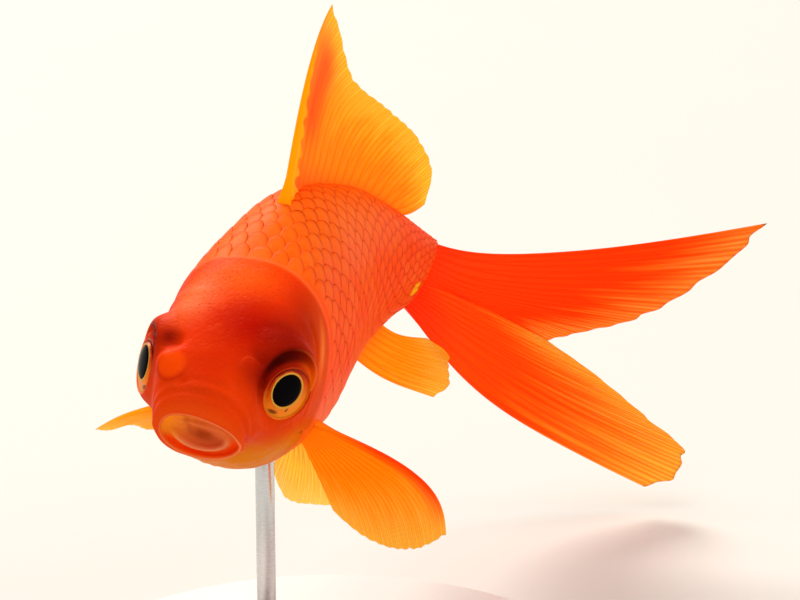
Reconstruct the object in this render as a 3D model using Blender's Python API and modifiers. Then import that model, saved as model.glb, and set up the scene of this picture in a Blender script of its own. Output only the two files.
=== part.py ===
# Goldfish of the comet kind, life size, held by a plain display stand.
# Metres, +Z up.  The fish looks along -Y and its left side is towards +X.
# The origin is the centre of the underside of the stand's base.
#
# The body is described in fish coordinates, all as shares of the standard
# length (snout to tail root):
#   along  0 at the snout, 1 at the tail root, more than 1 in the tail fin
#   left   sideways from the middle plane, positive to the fish's left
#   up     height over the spine line
# place() turns them into metres along the bent, banked spine.

import bpy
import bmesh
import math
import numpy as np
from mathutils import Matrix, Vector

# Driving dimensions
STANDARD_LENGTH = 0.090      # snout to tail root
GAP = 0.0003                 # between pieces that touch
FIN_THICKNESS = 0.0006

# pose of the spine (degrees, and shares of the standard length)
BANK = 7.4                   # the back leans to the fish's left
BODY_BEND = 17.5             # heading of the tail root, to the left
BODY_BEND_START = 0.27
FIN_BEND = 52.0              # extra heading gained inside the tail fin
FIN_BEND_START = 0.95
FIN_BEND_LENGTH = 0.65
TAIL_TWIST = 17.0            # roll of the tail root against the head
TAIL_TWIST_START = 0.45
TAIL_DROOP = 4.0             # the hind body sinks a little
TAIL_DROOP_START = 0.55
TAIL_DROOP_LENGTH = 0.6
FIN_DROOP = 11.0             # and the tail fin more
FIN_DROOP_START = 0.92
FIN_DROOP_LENGTH = 0.5

# side view: height of the back and of the belly along the body
BACK_LINE = [(0.0, 0.012), (0.03, 0.026), (0.07, 0.060), (0.12, 0.091), (0.23, 0.141),
             (0.34, 0.180), (0.45, 0.194), (0.62, 0.176), (0.80, 0.124), (0.92, 0.081),
             (1.0, 0.0535)]
BELLY_LINE = [(0.0, -0.050), (0.03, -0.068), (0.07, -0.090), (0.14, -0.114), (0.26, -0.142),
              (0.43, -0.163), (0.62, -0.152), (0.80, -0.108), (0.92, -0.076), (1.0, -0.066)]
# top view: half the width, and how high the widest place lies
HALF_WIDTH = [(0.0, 0.046), (0.03, 0.058), (0.07, 0.071), (0.12, 0.086), (0.18, 0.098),
              (0.27, 0.106), (0.40, 0.106), (0.56, 0.088), (0.74, 0.059), (0.90, 0.036),
              (0.96, 0.026), (1.0, 0.012)]
WIDEST_HEIGHT = [(0.0, -0.030), (0.04, -0.022), (0.12, 0.0), (0.5, 0.006), (1.0, 0.0)]
# power of the section's curve: 2 is an ellipse, more is squarer
ROUND_ABOVE = [(0.0, 2.2), (0.10, 2.8), (0.20, 2.5), (0.38, 1.9), (1.0, 1.9)]
ROUND_BELOW = [(0.0, 2.2), (0.30, 2.25), (1.0, 2.1)]
NOSE_LENGTH = 0.03           # the snout rounds off over this length
SNOUT_TIP = 0.0003           # the first section, just behind the tip

# how finely the body is faceted
SECTION_POINTS = 28
HEAD_RINGS = 20
HEAD_EVENNESS = 0.15         # 1 spaces the rings evenly, 0 crowds them on the snout
RING_POWER = 1.6
TRUNK_RINGS = 22
STEM_RINGS = 9
CLEARANCE_RINGS = 40         # the slightly larger body that trims the fins
CLEARANCE_START = 0.12

# where the body is parted, and how far the parting swings over the section
NAPE = 0.227                 # head and trunk, on the back
GILL_EDGE = 0.285            # on the sides
THROAT = 0.235               # below
STEM_START = 0.815           # trunk and tail stem
NECK_POWER = 1.5             # how late the neck line swings forward

# eyes
EYE_RADIUS = 0.044
EYE_MIDDLE = (0.1323, 0.0571, 0.0106)
EYE_AIM_OUT = {"left": 51.0, "right": 60.0}   # from straight ahead: both glance to the fish's left
EYE_AIM_UP = 7.0
PUPIL_SPREAD = 25.0                    # half the angle that the pupil takes on the eyeball
PUPIL_BULGE = 0.003                    # how far the lens stands out of the eyeball

# mouth and jaw
MOUTH_MIDDLE = (-0.004, 0.005, -0.037)
MOUTH_SIZE = (0.050, 0.049, 0.027)     # half depth, half width, half height
MOUTH_PITCH = 12.0                     # the opening looks a little downwards
MOUTH_ROLL = 12.0                      # and its left corner hangs lower
JAW_START = (-0.02, 0.0, -0.045)       # the jaw's parting runs from the mouth
JAW_HINGE = (0.150, 0.0, -0.100)       # to the chin's hind end
JAW_DEPTH = 0.1                        # the block that cuts it is deeper and wider than the chin
JAW_WIDTH = 0.3

# gill covers, each a shallow lens in the cheek
GILL_MIDDLE = (0.214, 0.102, -0.016)
GILL_SIZE = (0.058, 0.026, 0.084)

BALL_FACETS = (20, 10)                 # segments and rings of eyes, mouth and gill lenses
PUPIL_FACETS = (16, 8)
SHARP_ANGLE = 40.0                     # edges keener than this are shaded sharp

# fins: the root line's two ends, the outline through the tips of the rays
# (share of the way round, then along, left, up), and how far the first and
# the last ray bow out.  The skew shifts a bow's peak towards the root.
# Paired fins are given for the left side.
DORSAL_FIN = dict(
    root=((0.365, 0, 0.175), (0.80, 0, 0.108)),
    tips=[(0, 0.495, 0, 0.440), (0.08, 0.536, 0, 0.403), (0.25, 0.602, 0, 0.330),
          (0.5, 0.702, 0, 0.283), (0.75, 0.813, 0, 0.232), (0.92, 0.886, 0, 0.171),
          (1, 0.898, 0, 0.124)],
    first_bow=(-0.022, 0, 0.026), last_bow=(0, 0, -0.008), skew=1.5, rays=15, steps=8)
ANAL_FIN = dict(
    root=((0.77, 0, -0.100), (0.88, 0, -0.072)),
    tips=[(0, 1.12, 0.070, -0.212), (0.3, 1.16, 0.065, -0.185), (0.7, 1.15, 0.050, -0.148),
          (1, 1.07, 0.030, -0.118)],
    first_bow=(0, 0, -0.020), last_bow=(0, 0, -0.014), skew=1.0, rays=8, steps=7)
TAIL_UPPER = dict(
    root=((0.975, 0, 0.050), (0.975, 0, -0.016)),
    tips=[(0, 1.66, 0, 0.256), (0.12, 1.65, 0, 0.195), (0.4, 1.578, 0, 0.048),
          (0.75, 1.475, 0, -0.056), (1, 1.408, 0, -0.098)],
    first_bow=(-0.046, 0, -0.105), last_bow=(0, 0, 0), skew=1.05, rays=11, steps=11)
TAIL_LOWER = dict(
    root=((0.975, 0, -0.061), (0.975, 0, -0.021)),
    tips=[(0, 1.694, 0.060, -0.292), (0.12, 1.735, 0.060, -0.252), (0.3, 1.735, 0.050, -0.205),
          (0.55, 1.635, 0.030, -0.166), (0.8, 1.506, 0.010, -0.128), (1, 1.408, 0, -0.104)],
    first_bow=(0, 0, -0.052), last_bow=(0, 0, 0), skew=1.13, rays=11, steps=11)
PECTORAL_LEFT = dict(
    root=((0.305, 0.080, -0.080), (0.320, 0.066, -0.106)),
    tips=[(0, 0.455, 0.263, -0.253), (0.3, 0.44, 0.225, -0.280), (0.7, 0.41, 0.165, -0.267),
          (1, 0.38, 0.115, -0.225)],
    first_bow=(0, 0.043, 0.019), last_bow=(0, 0, 0), skew=1.2, rays=9, steps=8)
PECTORAL_RIGHT = dict(
    root=((0.305, 0.080, -0.080), (0.320, 0.066, -0.106)),
    tips=[(0, 0.375, 0.228, -0.172), (0.3, 0.43, 0.220, -0.184), (0.7, 0.47, 0.195, -0.192),
          (1, 0.46, 0.150, -0.178)],
    first_bow=(0, 0.010, 0.000), last_bow=(0, 0, 0), skew=1.0, rays=9, steps=8)
PELVIC_LEFT = dict(
    root=((0.465, 0.046, -0.138), (0.495, 0.020, -0.144)),
    tips=[(0, 0.600, 0.085, -0.290), (0.3, 0.61, 0.045, -0.303), (0.7, 0.60, 0.008, -0.300),
          (1, 0.568, -0.018, -0.247)],
    first_bow=(0, 0.008, 0), last_bow=(0, 0, 0), skew=1.0, rays=7, steps=6)
PELVIC_RIGHT = dict(
    root=((0.465, 0.046, -0.138), (0.495, 0.020, -0.144)),
    tips=[(0, 0.635, 0.110, -0.235), (0.3, 0.66, 0.085, -0.250), (0.7, 0.64, 0.050, -0.245),
          (1, 0.60, 0.024, -0.220)],
    first_bow=(0, 0.008, 0), last_bow=(0, 0, 0), skew=1.0, rays=7, steps=6)

# display stand (metres)
SNOUT_PLACE = Vector((-0.006, -0.038, 0.050))   # the snout over the middle of the base
BASE_RADIUS = 0.036
BASE_THICKNESS = 0.006
BASE_EDGE = 0.0012                     # bevel of the base's top rim, half of it below
COLLAR_RADIUS = 0.0045
COLLAR_HEIGHT = 0.0040
COLLAR_NECK = 0.6                      # the collar's top, as a share of its radius
COLLAR_SHOULDER = 0.35                 # where its slope starts, as a share of its height
ROD_RADIUS = 0.0012
ROD_ALONG = 0.42                       # where the rod enters the belly
ROD_DEPTH = 0.004                      # and how far it goes in
BASE_SIDES = 44
COLLAR_SIDES = 24
ROD_SIDES = 16

# colour, roughness, metallic
FINISHES = {
    "head_red": ((0.62, 0.045, 0.005), 0.35, 0.0),
    "body_orange": ((0.90, 0.110, 0.010), 0.32, 0.0),
    "gill_orange": ((0.80, 0.110, 0.012), 0.30, 0.1),
    "chin_gold": ((0.70, 0.210, 0.015), 0.35, 0.0),
    "fin_orange": ((0.95, 0.230, 0.012), 0.40, 0.0),
    "iris_gold": ((0.72, 0.330, 0.040), 0.20, 0.3),
    "pupil_black": ((0.004, 0.004, 0.005), 0.08, 0.0),
    "base_white": ((0.78, 0.77, 0.74), 0.45, 0.0),
    "rod_steel": ((0.62, 0.62, 0.63), 0.28, 1.0),
}


# Scene set-up
def clear_scene():
    for item in list(bpy.data.objects):
        bpy.data.objects.remove(item, do_unlink=True)


def new_collection(name):
    collection = bpy.data.collections.new(name)
    bpy.context.scene.collection.children.link(collection)
    return collection


def paint(item, finish_name):
    """Give the piece a material of its own."""
    colour, roughness, metallic = FINISHES[finish_name]
    material = bpy.data.materials.new(item.name + "_finish")
    material.use_nodes = True
    shader = material.node_tree.nodes["Principled BSDF"]
    shader.inputs["Base Color"].default_value = (*colour, 1.0)
    shader.inputs["Roughness"].default_value = roughness
    shader.inputs["Metallic"].default_value = metallic
    item.data.materials.append(material)
    return item


def new_item(name, mesh, collection):
    item = bpy.data.objects.new(name, mesh)
    collection.objects.link(item)
    return item


def as_cutter(item):
    item.hide_render = True
    item.display_type = 'WIRE'
    return item


def boolean(target, tool, operation):
    modifier = target.modifiers.new(operation.lower(), 'BOOLEAN')
    modifier.operation = operation
    modifier.solver = 'EXACT'
    modifier.object = tool


# Curves and the spine
def through(points, at):
    """Smooth curve through a few (place, value) points, without overshoot."""
    x, y = np.array(points, dtype=float).T
    step = np.diff(x)
    slope = np.diff(y) / step
    tangent = np.zeros(len(x))
    same = slope[:-1] * slope[1:] > 0
    before = 2 * step[1:] + step[:-1]
    after = step[1:] + 2 * step[:-1]
    inner = (before + after) / (before / np.where(same, slope[:-1], 1) + after / np.where(same, slope[1:], 1))
    tangent[1:-1] = np.where(same, inner, 0)
    tangent[0] = 1.5 * slope[0] - 0.5 * tangent[1]
    tangent[-1] = 1.5 * slope[-1] - 0.5 * tangent[-2]
    at = np.clip(np.asarray(at, dtype=float), x[0], x[-1])
    k = np.clip(np.searchsorted(x, at) - 1, 0, len(x) - 2)
    t = (at - x[k]) / step[k]
    return ((2 * t**3 - 3 * t**2 + 1) * y[k] + (t**3 - 2 * t**2 + t) * step[k] * tangent[k]
            + (3 * t**2 - 2 * t**3) * y[k + 1] + (t**3 - t**2) * step[k] * tangent[k + 1])


def ramp(at, start, length):
    """Smooth step from 0 at start to 1 after the length."""
    t = np.clip((at - start) / length, 0, 1)
    return t * t * (3 - 2 * t)


def heading(along):
    body = BODY_BEND * ramp(along, BODY_BEND_START, 1 - BODY_BEND_START)
    return np.radians(body + FIN_BEND * ramp(along, FIN_BEND_START, FIN_BEND_LENGTH))


def droop(along):
    body = TAIL_DROOP * ramp(along, TAIL_DROOP_START, TAIL_DROOP_LENGTH)
    return np.radians(body + FIN_DROOP * ramp(along, FIN_DROOP_START, FIN_DROOP_LENGTH))


def twist(along):
    return np.radians(TAIL_TWIST * ramp(along, TAIL_TWIST_START, 1 - TAIL_TWIST_START))


def spine_direction(along):
    turn, sink = heading(along), droop(along)
    return np.stack([np.sin(turn) * np.cos(sink), np.cos(turn) * np.cos(sink), -np.sin(sink)], axis=-1)


# the spine line is the running sum of its direction
SPINE_AT = np.linspace(-0.1, 2.1, 441)
_steps = spine_direction((SPINE_AT[1:] + SPINE_AT[:-1]) / 2) * np.diff(SPINE_AT)[:, None]
SPINE_LINE = np.vstack([np.zeros(3), np.cumsum(_steps, axis=0)])
SPINE_LINE = SPINE_LINE - SPINE_LINE[np.searchsorted(SPINE_AT, 0.0)]

# the head's own frame: bank about the long axis, then up onto the stand
FISH_FRAME = Matrix.Translation(SNOUT_PLACE) @ Matrix.Rotation(math.radians(BANK), 4, 'Y')


def place(along, left, up):
    """World place, in metres, of a point in fish coordinates (arrays)."""
    along, left, up = np.broadcast_arrays(*(np.asarray(v, dtype=float) for v in (along, left, up)))
    middle = np.stack([np.interp(along, SPINE_AT, SPINE_LINE[:, k]) for k in range(3)], axis=-1)
    turn = heading(along)
    tangent = spine_direction(along)
    sideways = np.stack([np.cos(turn), -np.sin(turn), np.zeros_like(turn)], axis=-1)
    upright = np.cross(sideways, tangent)
    roll = twist(along)[..., None]
    left_axis = sideways * np.cos(roll) - upright * np.sin(roll)
    up_axis = upright * np.cos(roll) + sideways * np.sin(roll)
    flat = (middle + left_axis * left[..., None] + up_axis * up[..., None]) * STANDARD_LENGTH
    frame = np.array(FISH_FRAME)
    return flat @ frame[:3, :3].T + frame[:3, 3]


def body_surface(along, angle, grow=0.0):
    """Body surface in fish coordinates; the angle is 0 on the left, 90 degrees on the back."""
    nose = np.sqrt(1 - (1 - np.clip(along / NOSE_LENGTH, 0, 1))**2)
    widest = through(WIDEST_HEIGHT, along)
    cosine, sine = np.cos(angle), np.sin(angle)
    above = sine >= 0
    power = 2 / np.where(above, through(ROUND_ABOVE, along), through(ROUND_BELOW, along))
    reach = np.where(above, through(BACK_LINE, along) - widest, widest - through(BELLY_LINE, along))
    left = (through(HALF_WIDTH, along) * nose + grow) * np.sign(cosine) * np.abs(cosine)**power
    up = widest + (reach * nose + grow) * np.sign(sine) * np.abs(sine)**power
    return along + 0 * angle, left, up


def neck_line(angle):
    """Where the head ends: forward on the nape and throat, back at the gills."""
    sine = np.sin(angle)
    swing = np.where(sine > 0, NAPE, THROAT) - GILL_EDGE
    return GILL_EDGE + swing * np.abs(sine)**NECK_POWER


# Mesh helpers
def to_mesh(name, shape):
    """Mesh of a finished bmesh, smooth but for its keen edges."""
    mesh = bpy.data.meshes.new(name)
    shape.to_mesh(mesh)
    shape.free()
    mesh.shade_smooth()
    mesh.set_sharp_from_angle(angle=math.radians(SHARP_ANGLE))
    return mesh


def move_vertices(shape, points):
    for vertex, point in zip(shape.verts, points):
        vertex.co = point
    shape.normal_update()


def loft(name, start, end, rings, grow=0.0, evenness=1.0):
    """Closed length of the body between two parting lines, given as functions of the angle.

    It is a UV sphere whose circles become the body's sections and whose poles close the ends.
    """
    shape = bmesh.new()
    bmesh.ops.create_uvsphere(shape, u_segments=SECTION_POINTS, v_segments=rings + 1, radius=1.0)
    ball = np.array([vertex.co for vertex in shape.verts])
    angle = np.arctan2(ball[:, 1], ball[:, 0])
    circle = np.rint(np.arccos(np.clip(ball[:, 2], -1, 1)) / np.pi * (rings + 1))
    share = np.clip((circle - 1) / (rings - 1), 0, 1)
    share = evenness * share + (1 - evenness) * share**RING_POWER
    along = start(angle) + (end(angle) - start(angle)) * share
    points = place(*body_surface(along, angle, grow / STANDARD_LENGTH))
    points[circle == 0] = points[circle == 1].mean(axis=0)
    points[circle == rings + 1] = points[circle == rings].mean(axis=0)
    move_vertices(shape, points)
    bmesh.ops.recalc_face_normals(shape, faces=shape.faces)
    return to_mesh(name, shape)


def fan(name, fin, side):
    """Open sheet of fin rays, from the root line to the outline through the tips."""
    shape = bmesh.new()
    bmesh.ops.create_grid(shape, x_segments=fin["rays"] - 1, y_segments=fin["steps"] - 1, size=1.0)
    grid = np.array([vertex.co for vertex in shape.verts]) / 2 + 0.5
    turn, out = grid[:, 0], grid[:, 1]
    root = np.array(fin["root"][0]) + np.outer(turn, np.subtract(*fin["root"][::-1]))
    tips = np.array(fin["tips"], dtype=float)
    tip = np.stack([through(tips[:, [0, k]], turn) for k in (1, 2, 3)], axis=-1)
    bow = np.array(fin["first_bow"]) + np.outer(turn, np.subtract(fin["last_bow"], fin["first_bow"]))
    arch = np.sin(np.pi * out**fin["skew"])
    ray = root + (tip - root) * out[:, None] + bow * arch[:, None]
    move_vertices(shape, place(ray[:, 0], ray[:, 1] * side, ray[:, 2]))
    return to_mesh(name, shape)


def in_head(point):
    """A point in fish coordinates as metres in the head's own axes: left, along, up."""
    along, left, up = point
    return Vector((left, along, up)) * STANDARD_LENGTH


def ellipsoid(name, middle, size, turn, facets, collection):
    """Ball in the head: middle and half sizes (along, left, up) in fish coordinates."""
    shape = bmesh.new()
    bmesh.ops.create_uvsphere(shape, u_segments=facets[0], v_segments=facets[1], radius=1.0)
    local = Matrix.Translation(in_head(middle)) @ turn @ Matrix.Diagonal((*in_head(size), 1.0))
    bmesh.ops.transform(shape, matrix=FISH_FRAME @ local, verts=shape.verts)
    return new_item(name, to_mesh(name, shape), collection)


def grown(size):
    return tuple(v + GAP / STANDARD_LENGTH for v in size)


def steady(value):
    """Parting line at one place all round the body."""
    return lambda angle: value + 0 * angle


# Head
def make_eye(side, word, parts, cutters, head):
    out, rise = math.radians(EYE_AIM_OUT[word]), math.radians(EYE_AIM_UP)
    aim = Vector((-math.cos(out) * math.cos(rise), math.sin(out) * math.cos(rise) * side, math.sin(rise)))
    middle = Vector(EYE_MIDDLE)
    middle.y *= side
    size = (EYE_RADIUS,) * 3
    still = Matrix.Identity(4)
    socket = ellipsoid("socket_" + word, middle, grown(size), still, BALL_FACETS, cutters)
    boolean(head, as_cutter(socket), 'DIFFERENCE')
    eye = ellipsoid("eye_" + word, middle, size, still, BALL_FACETS, parts)
    paint(eye, "iris_gold")

    # the lens is a shallow ball on the aim of the eye, set into the eyeball
    spread = math.radians(PUPIL_SPREAD)
    sunk = EYE_RADIUS * math.cos(spread)
    wide = EYE_RADIUS * math.sin(spread)
    lens = (wide, wide, EYE_RADIUS - sunk + PUPIL_BULGE)
    facing = Vector((aim.y, aim.x, aim.z)).to_track_quat('Z', 'Y').to_matrix().to_4x4()
    bed = ellipsoid("pupil_bed_" + word, middle + aim * sunk, grown(lens), facing, PUPIL_FACETS, cutters)
    boolean(eye, as_cutter(bed), 'DIFFERENCE')
    paint(ellipsoid("pupil_" + word, middle + aim * sunk, lens, facing, PUPIL_FACETS, parts), "pupil_black")


def jaw_block(name, grow, cutters):
    """Slab under the slanting line from the mouth to the chin's hind end."""
    start = in_head(JAW_START)
    line = in_head(JAW_HINGE) - start
    depth = JAW_DEPTH * STANDARD_LENGTH
    size = (JAW_WIDTH * STANDARD_LENGTH, line.length + 2 * grow, depth + 2 * grow, 1.0)
    local = (Matrix.Translation(start) @ Matrix.Rotation(math.atan2(line.z, line.y), 4, 'X')
             @ Matrix.Translation((0, line.length / 2, -depth / 2)) @ Matrix.Diagonal(size))
    shape = bmesh.new()
    bmesh.ops.create_cube(shape, size=1.0)
    bmesh.ops.transform(shape, matrix=FISH_FRAME @ local, verts=shape.verts)
    return as_cutter(new_item(name, to_mesh(name, shape), cutters))


def make_head(parts, cutters):
    whole = loft("head", steady(SNOUT_TIP), neck_line, HEAD_RINGS, evenness=HEAD_EVENNESS)
    head = paint(new_item("head", whole.copy(), parts), "head_red")
    jaw = paint(new_item("lower_jaw", whole.copy(), parts), "chin_gold")
    tilt = (Matrix.Rotation(math.radians(MOUTH_ROLL), 4, 'Y')
            @ Matrix.Rotation(math.radians(-MOUTH_PITCH), 4, 'X'))
    mouth = as_cutter(ellipsoid("mouth_hollow", MOUTH_MIDDLE, MOUTH_SIZE, tilt, BALL_FACETS, cutters))
    boolean(head, mouth, 'DIFFERENCE')
    boolean(jaw, mouth, 'DIFFERENCE')
    boolean(jaw, jaw_block("jaw_block", 0.0, cutters), 'INTERSECT')
    boolean(head, jaw_block("jaw_parting", GAP, cutters), 'DIFFERENCE')

    still = Matrix.Identity(4)
    for side, word in ((1, "left"), (-1, "right")):
        middle = (GILL_MIDDLE[0], GILL_MIDDLE[1] * side, GILL_MIDDLE[2])
        lens = as_cutter(ellipsoid("gill_lens_" + word, middle, GILL_SIZE, still, BALL_FACETS, cutters))
        bed = as_cutter(ellipsoid("gill_bed_" + word, middle, grown(GILL_SIZE), still, BALL_FACETS, cutters))
        cover = paint(new_item("gill_cover_" + word, whole.copy(), parts), "gill_orange")
        boolean(cover, lens, 'INTERSECT')
        boolean(head, bed, 'DIFFERENCE')
        make_eye(side, word, parts, cutters, head)


# Trunk, tail stem and fins
def make_trunk(parts):
    gap = GAP / STANDARD_LENGTH
    trunk = loft("trunk", lambda angle: neck_line(angle) + gap, steady(STEM_START), TRUNK_RINGS)
    stem = loft("tail_stem", steady(STEM_START + gap), steady(1.0), STEM_RINGS)
    paint(new_item("tail_stem", stem, parts), "body_orange")
    return paint(new_item("trunk", trunk, parts), "body_orange")


def make_fins(parts, cutters):
    end = 1.0 + GAP / STANDARD_LENGTH
    clearance = loft("fin_clearance", steady(CLEARANCE_START), steady(end), CLEARANCE_RINGS, grow=GAP)
    body = as_cutter(new_item("fin_clearance", clearance, cutters))
    fins = [("dorsal_fin", DORSAL_FIN, 1), ("anal_fin", ANAL_FIN, 1),
            ("tail_fin_upper", TAIL_UPPER, 1), ("tail_fin_lower", TAIL_LOWER, 1),
            ("pectoral_fin_left", PECTORAL_LEFT, 1), ("pectoral_fin_right", PECTORAL_RIGHT, -1),
            ("pelvic_fin_left", PELVIC_LEFT, 1), ("pelvic_fin_right", PELVIC_RIGHT, -1)]
    for name, fin, side in fins:
        item = paint(new_item(name, fan(name, fin, side), parts), "fin_orange")
        wall = item.modifiers.new("thickness", 'SOLIDIFY')
        wall.thickness = FIN_THICKNESS
        wall.offset = 0.0
        boolean(item, body, 'DIFFERENCE')


# Display stand
def turned(name, profile, sides, place_at, collection):
    """Turned piece: a profile of (radius, height), top to bottom on its outer side."""
    mesh = bpy.data.meshes.new(name)
    points = [(radius, 0.0, height) for radius, height in profile]
    mesh.from_pydata(points, [(i, i + 1) for i in range(len(points) - 1)], [])
    item = new_item(name, mesh, collection)
    item.location = place_at
    screw = item.modifiers.new("turn", 'SCREW')
    screw.steps = sides
    screw.render_steps = sides
    screw.use_merge_vertices = True
    screw.merge_threshold = 0.00001
    return item


def make_stand(parts, cutters, trunk):
    belly = Vector(place(ROD_ALONG, 0.0, float(through(BELLY_LINE, ROD_ALONG))))
    foot = Vector((belly.x, belly.y, 0.0))
    top = BASE_THICKNESS
    lower = BASE_EDGE / 2
    base_profile = [(0, top), (BASE_RADIUS - BASE_EDGE, top), (BASE_RADIUS, top - BASE_EDGE),
                    (BASE_RADIUS, lower), (BASE_RADIUS - lower, 0), (0, 0)]
    paint(turned("stand_base", base_profile, BASE_SIDES, Vector(), parts), "base_white")

    sole = top + GAP
    crown = sole + COLLAR_HEIGHT
    hole = ROD_RADIUS + GAP
    collar_profile = [(hole, crown), (COLLAR_RADIUS * COLLAR_NECK, crown),
                      (COLLAR_RADIUS, sole + COLLAR_HEIGHT * COLLAR_SHOULDER),
                      (COLLAR_RADIUS, sole), (hole, sole), (hole, crown)]
    paint(turned("stand_collar", collar_profile, COLLAR_SIDES, foot, parts), "rod_steel")

    rod_top = belly.z + ROD_DEPTH
    rod_profile = [(0, rod_top), (ROD_RADIUS, rod_top), (ROD_RADIUS, sole), (0, sole)]
    bore_profile = [(0, rod_top + GAP), (hole, rod_top + GAP), (hole, top), (0, top)]
    paint(turned("stand_rod", rod_profile, ROD_SIDES, foot, parts), "rod_steel")
    bore = as_cutter(turned("rod_bore", bore_profile, ROD_SIDES, foot, cutters))
    boolean(trunk, bore, 'DIFFERENCE')


def main():
    clear_scene()
    parts = new_collection("goldfish")
    cutters = new_collection("cutters")
    make_head(parts, cutters)
    trunk = make_trunk(parts)
    make_fins(parts, cutters)
    make_stand(parts, cutters, trunk)


main()
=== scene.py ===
import math
import bpy
import numpy as np
from mathutils import Matrix, Vector


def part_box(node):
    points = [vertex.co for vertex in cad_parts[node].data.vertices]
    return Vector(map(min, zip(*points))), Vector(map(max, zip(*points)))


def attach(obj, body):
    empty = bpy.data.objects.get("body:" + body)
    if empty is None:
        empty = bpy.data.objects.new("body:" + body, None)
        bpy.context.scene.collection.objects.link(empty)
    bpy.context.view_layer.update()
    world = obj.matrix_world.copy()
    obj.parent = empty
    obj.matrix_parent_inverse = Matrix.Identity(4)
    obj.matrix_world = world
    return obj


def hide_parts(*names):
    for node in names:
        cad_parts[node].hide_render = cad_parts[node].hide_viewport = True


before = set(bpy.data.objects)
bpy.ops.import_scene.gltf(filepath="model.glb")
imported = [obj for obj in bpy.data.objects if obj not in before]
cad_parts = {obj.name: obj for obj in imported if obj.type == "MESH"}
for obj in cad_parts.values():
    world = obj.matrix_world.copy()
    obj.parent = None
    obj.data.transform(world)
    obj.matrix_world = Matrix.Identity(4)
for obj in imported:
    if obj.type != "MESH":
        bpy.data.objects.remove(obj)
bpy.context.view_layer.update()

# Fish coordinates are (left, along, up), as shares of the standard length: along is 0 at the
# snout and 1 at the tail root, and more than 1 in the tail fin.  The lines are the solids' own.
fish = {
    "length": 0.090,
    "bank": 7.4,                          # degrees that the back leans to the left
    "bodyBend": (17.5, 0.27, 0.73),       # degrees gained, from where, over what length
    "finBend": (52.0, 0.95, 0.65),
    "twist": (17.0, 0.45, 0.55),
    "bodyDroop": (4.0, 0.55, 0.60),
    "finDroop": (11.0, 0.92, 0.50),
    "back": [(0.0, 0.012), (0.03, 0.026), (0.07, 0.060), (0.12, 0.091), (0.23, 0.141),
             (0.34, 0.180), (0.45, 0.194), (0.62, 0.176), (0.80, 0.124), (0.92, 0.081),
             (1.0, 0.0535)],
    "belly": [(0.0, -0.050), (0.03, -0.068), (0.07, -0.090), (0.14, -0.114), (0.26, -0.142),
              (0.43, -0.163), (0.62, -0.152), (0.80, -0.108), (0.92, -0.076), (1.0, -0.066)],
    "halfWidth": [(0.0, 0.046), (0.03, 0.058), (0.07, 0.071), (0.12, 0.086), (0.18, 0.098),
                  (0.27, 0.106), (0.40, 0.106), (0.56, 0.088), (0.74, 0.059), (0.90, 0.036),
                  (0.96, 0.026), (1.0, 0.012)],
    "widest": [(0.0, -0.030), (0.04, -0.022), (0.12, 0.0), (0.5, 0.006), (1.0, 0.0)],
    "roundAbove": [(0.0, 2.2), (0.10, 2.8), (0.20, 2.5), (0.38, 1.9), (1.0, 1.9)],
    "roundBelow": [(0.0, 2.2), (0.30, 2.25), (1.0, 2.1)],
    "noseLength": 0.03,
    "nape": 0.227,                        # where the head ends: on the back,
    "gillEdge": 0.285,                    # on the sides
    "throat": 0.235,                      # and below
    "neckPower": 1.5,
    "rodAlong": 0.42,                     # where the rod enters the belly
    "rodDepth": 0.004,                    # and how far, in metres
}


# Curves

def smoothStep(value, start, length):
    # 3t^2 - 2t^3 of the share of the length that is passed
    share = np.clip((value - start) / length, 0, 1)
    return share * share * (3 - 2 * share)


def hump(value, middle, halfWidth):
    # exp(-(distance / half width)^2)
    return np.exp(-((value - middle) / halfWidth)**2)


def curve(points, at):
    # cubic through a few (place, value) points, its slope the harmonic mean of the chords'
    x, y = np.array(points, dtype=float).T
    step = np.diff(x)
    slope = np.diff(y) / step
    same = slope[:-1] * slope[1:] > 0
    before = 2 * step[1:] + step[:-1]
    after = step[1:] + 2 * step[:-1]
    weighted = before / np.where(same, slope[:-1], 1) + after / np.where(same, slope[1:], 1)
    tangent = np.zeros(len(x))
    tangent[1:-1] = np.where(same, (before + after) / weighted, 0)
    tangent[0] = 1.5 * slope[0] - 0.5 * tangent[1]
    tangent[-1] = 1.5 * slope[-1] - 0.5 * tangent[-2]
    at = np.clip(np.asarray(at, dtype=float), x[0], x[-1])
    k = np.clip(np.searchsorted(x, at) - 1, 0, len(x) - 2)
    t = (at - x[k]) / step[k]
    rise = (3 - 2 * t) * t * t
    return (y[k] * (1 - rise) + y[k + 1] * rise
            + step[k] * (t * (1 - t)**2 * tangent[k] - t * t * (1 - t) * tangent[k + 1]))


# Pose

def gained(name, along):
    # radians of a bend reached at a place, eased in and out
    amount, start, length = fish[name]
    return np.radians(amount * smoothStep(along, start, length))


def spineDirection(along):
    # unit vector with the heading and the droop gained so far
    turn = gained("bodyBend", along) + gained("finBend", along)
    sink = gained("bodyDroop", along) + gained("finDroop", along)
    return np.stack([np.sin(turn) * np.cos(sink), np.cos(turn) * np.cos(sink), -np.sin(sink)], -1)


spineAt = np.linspace(-0.1, 2.1, 441)
spineSteps = spineDirection((spineAt[1:] + spineAt[:-1]) / 2) * np.diff(spineAt)[:, None]
spineLine = np.vstack([np.zeros(3), np.cumsum(spineSteps, axis=0)])
spineLine = spineLine - spineLine[np.searchsorted(spineAt, 0.0)]


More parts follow.
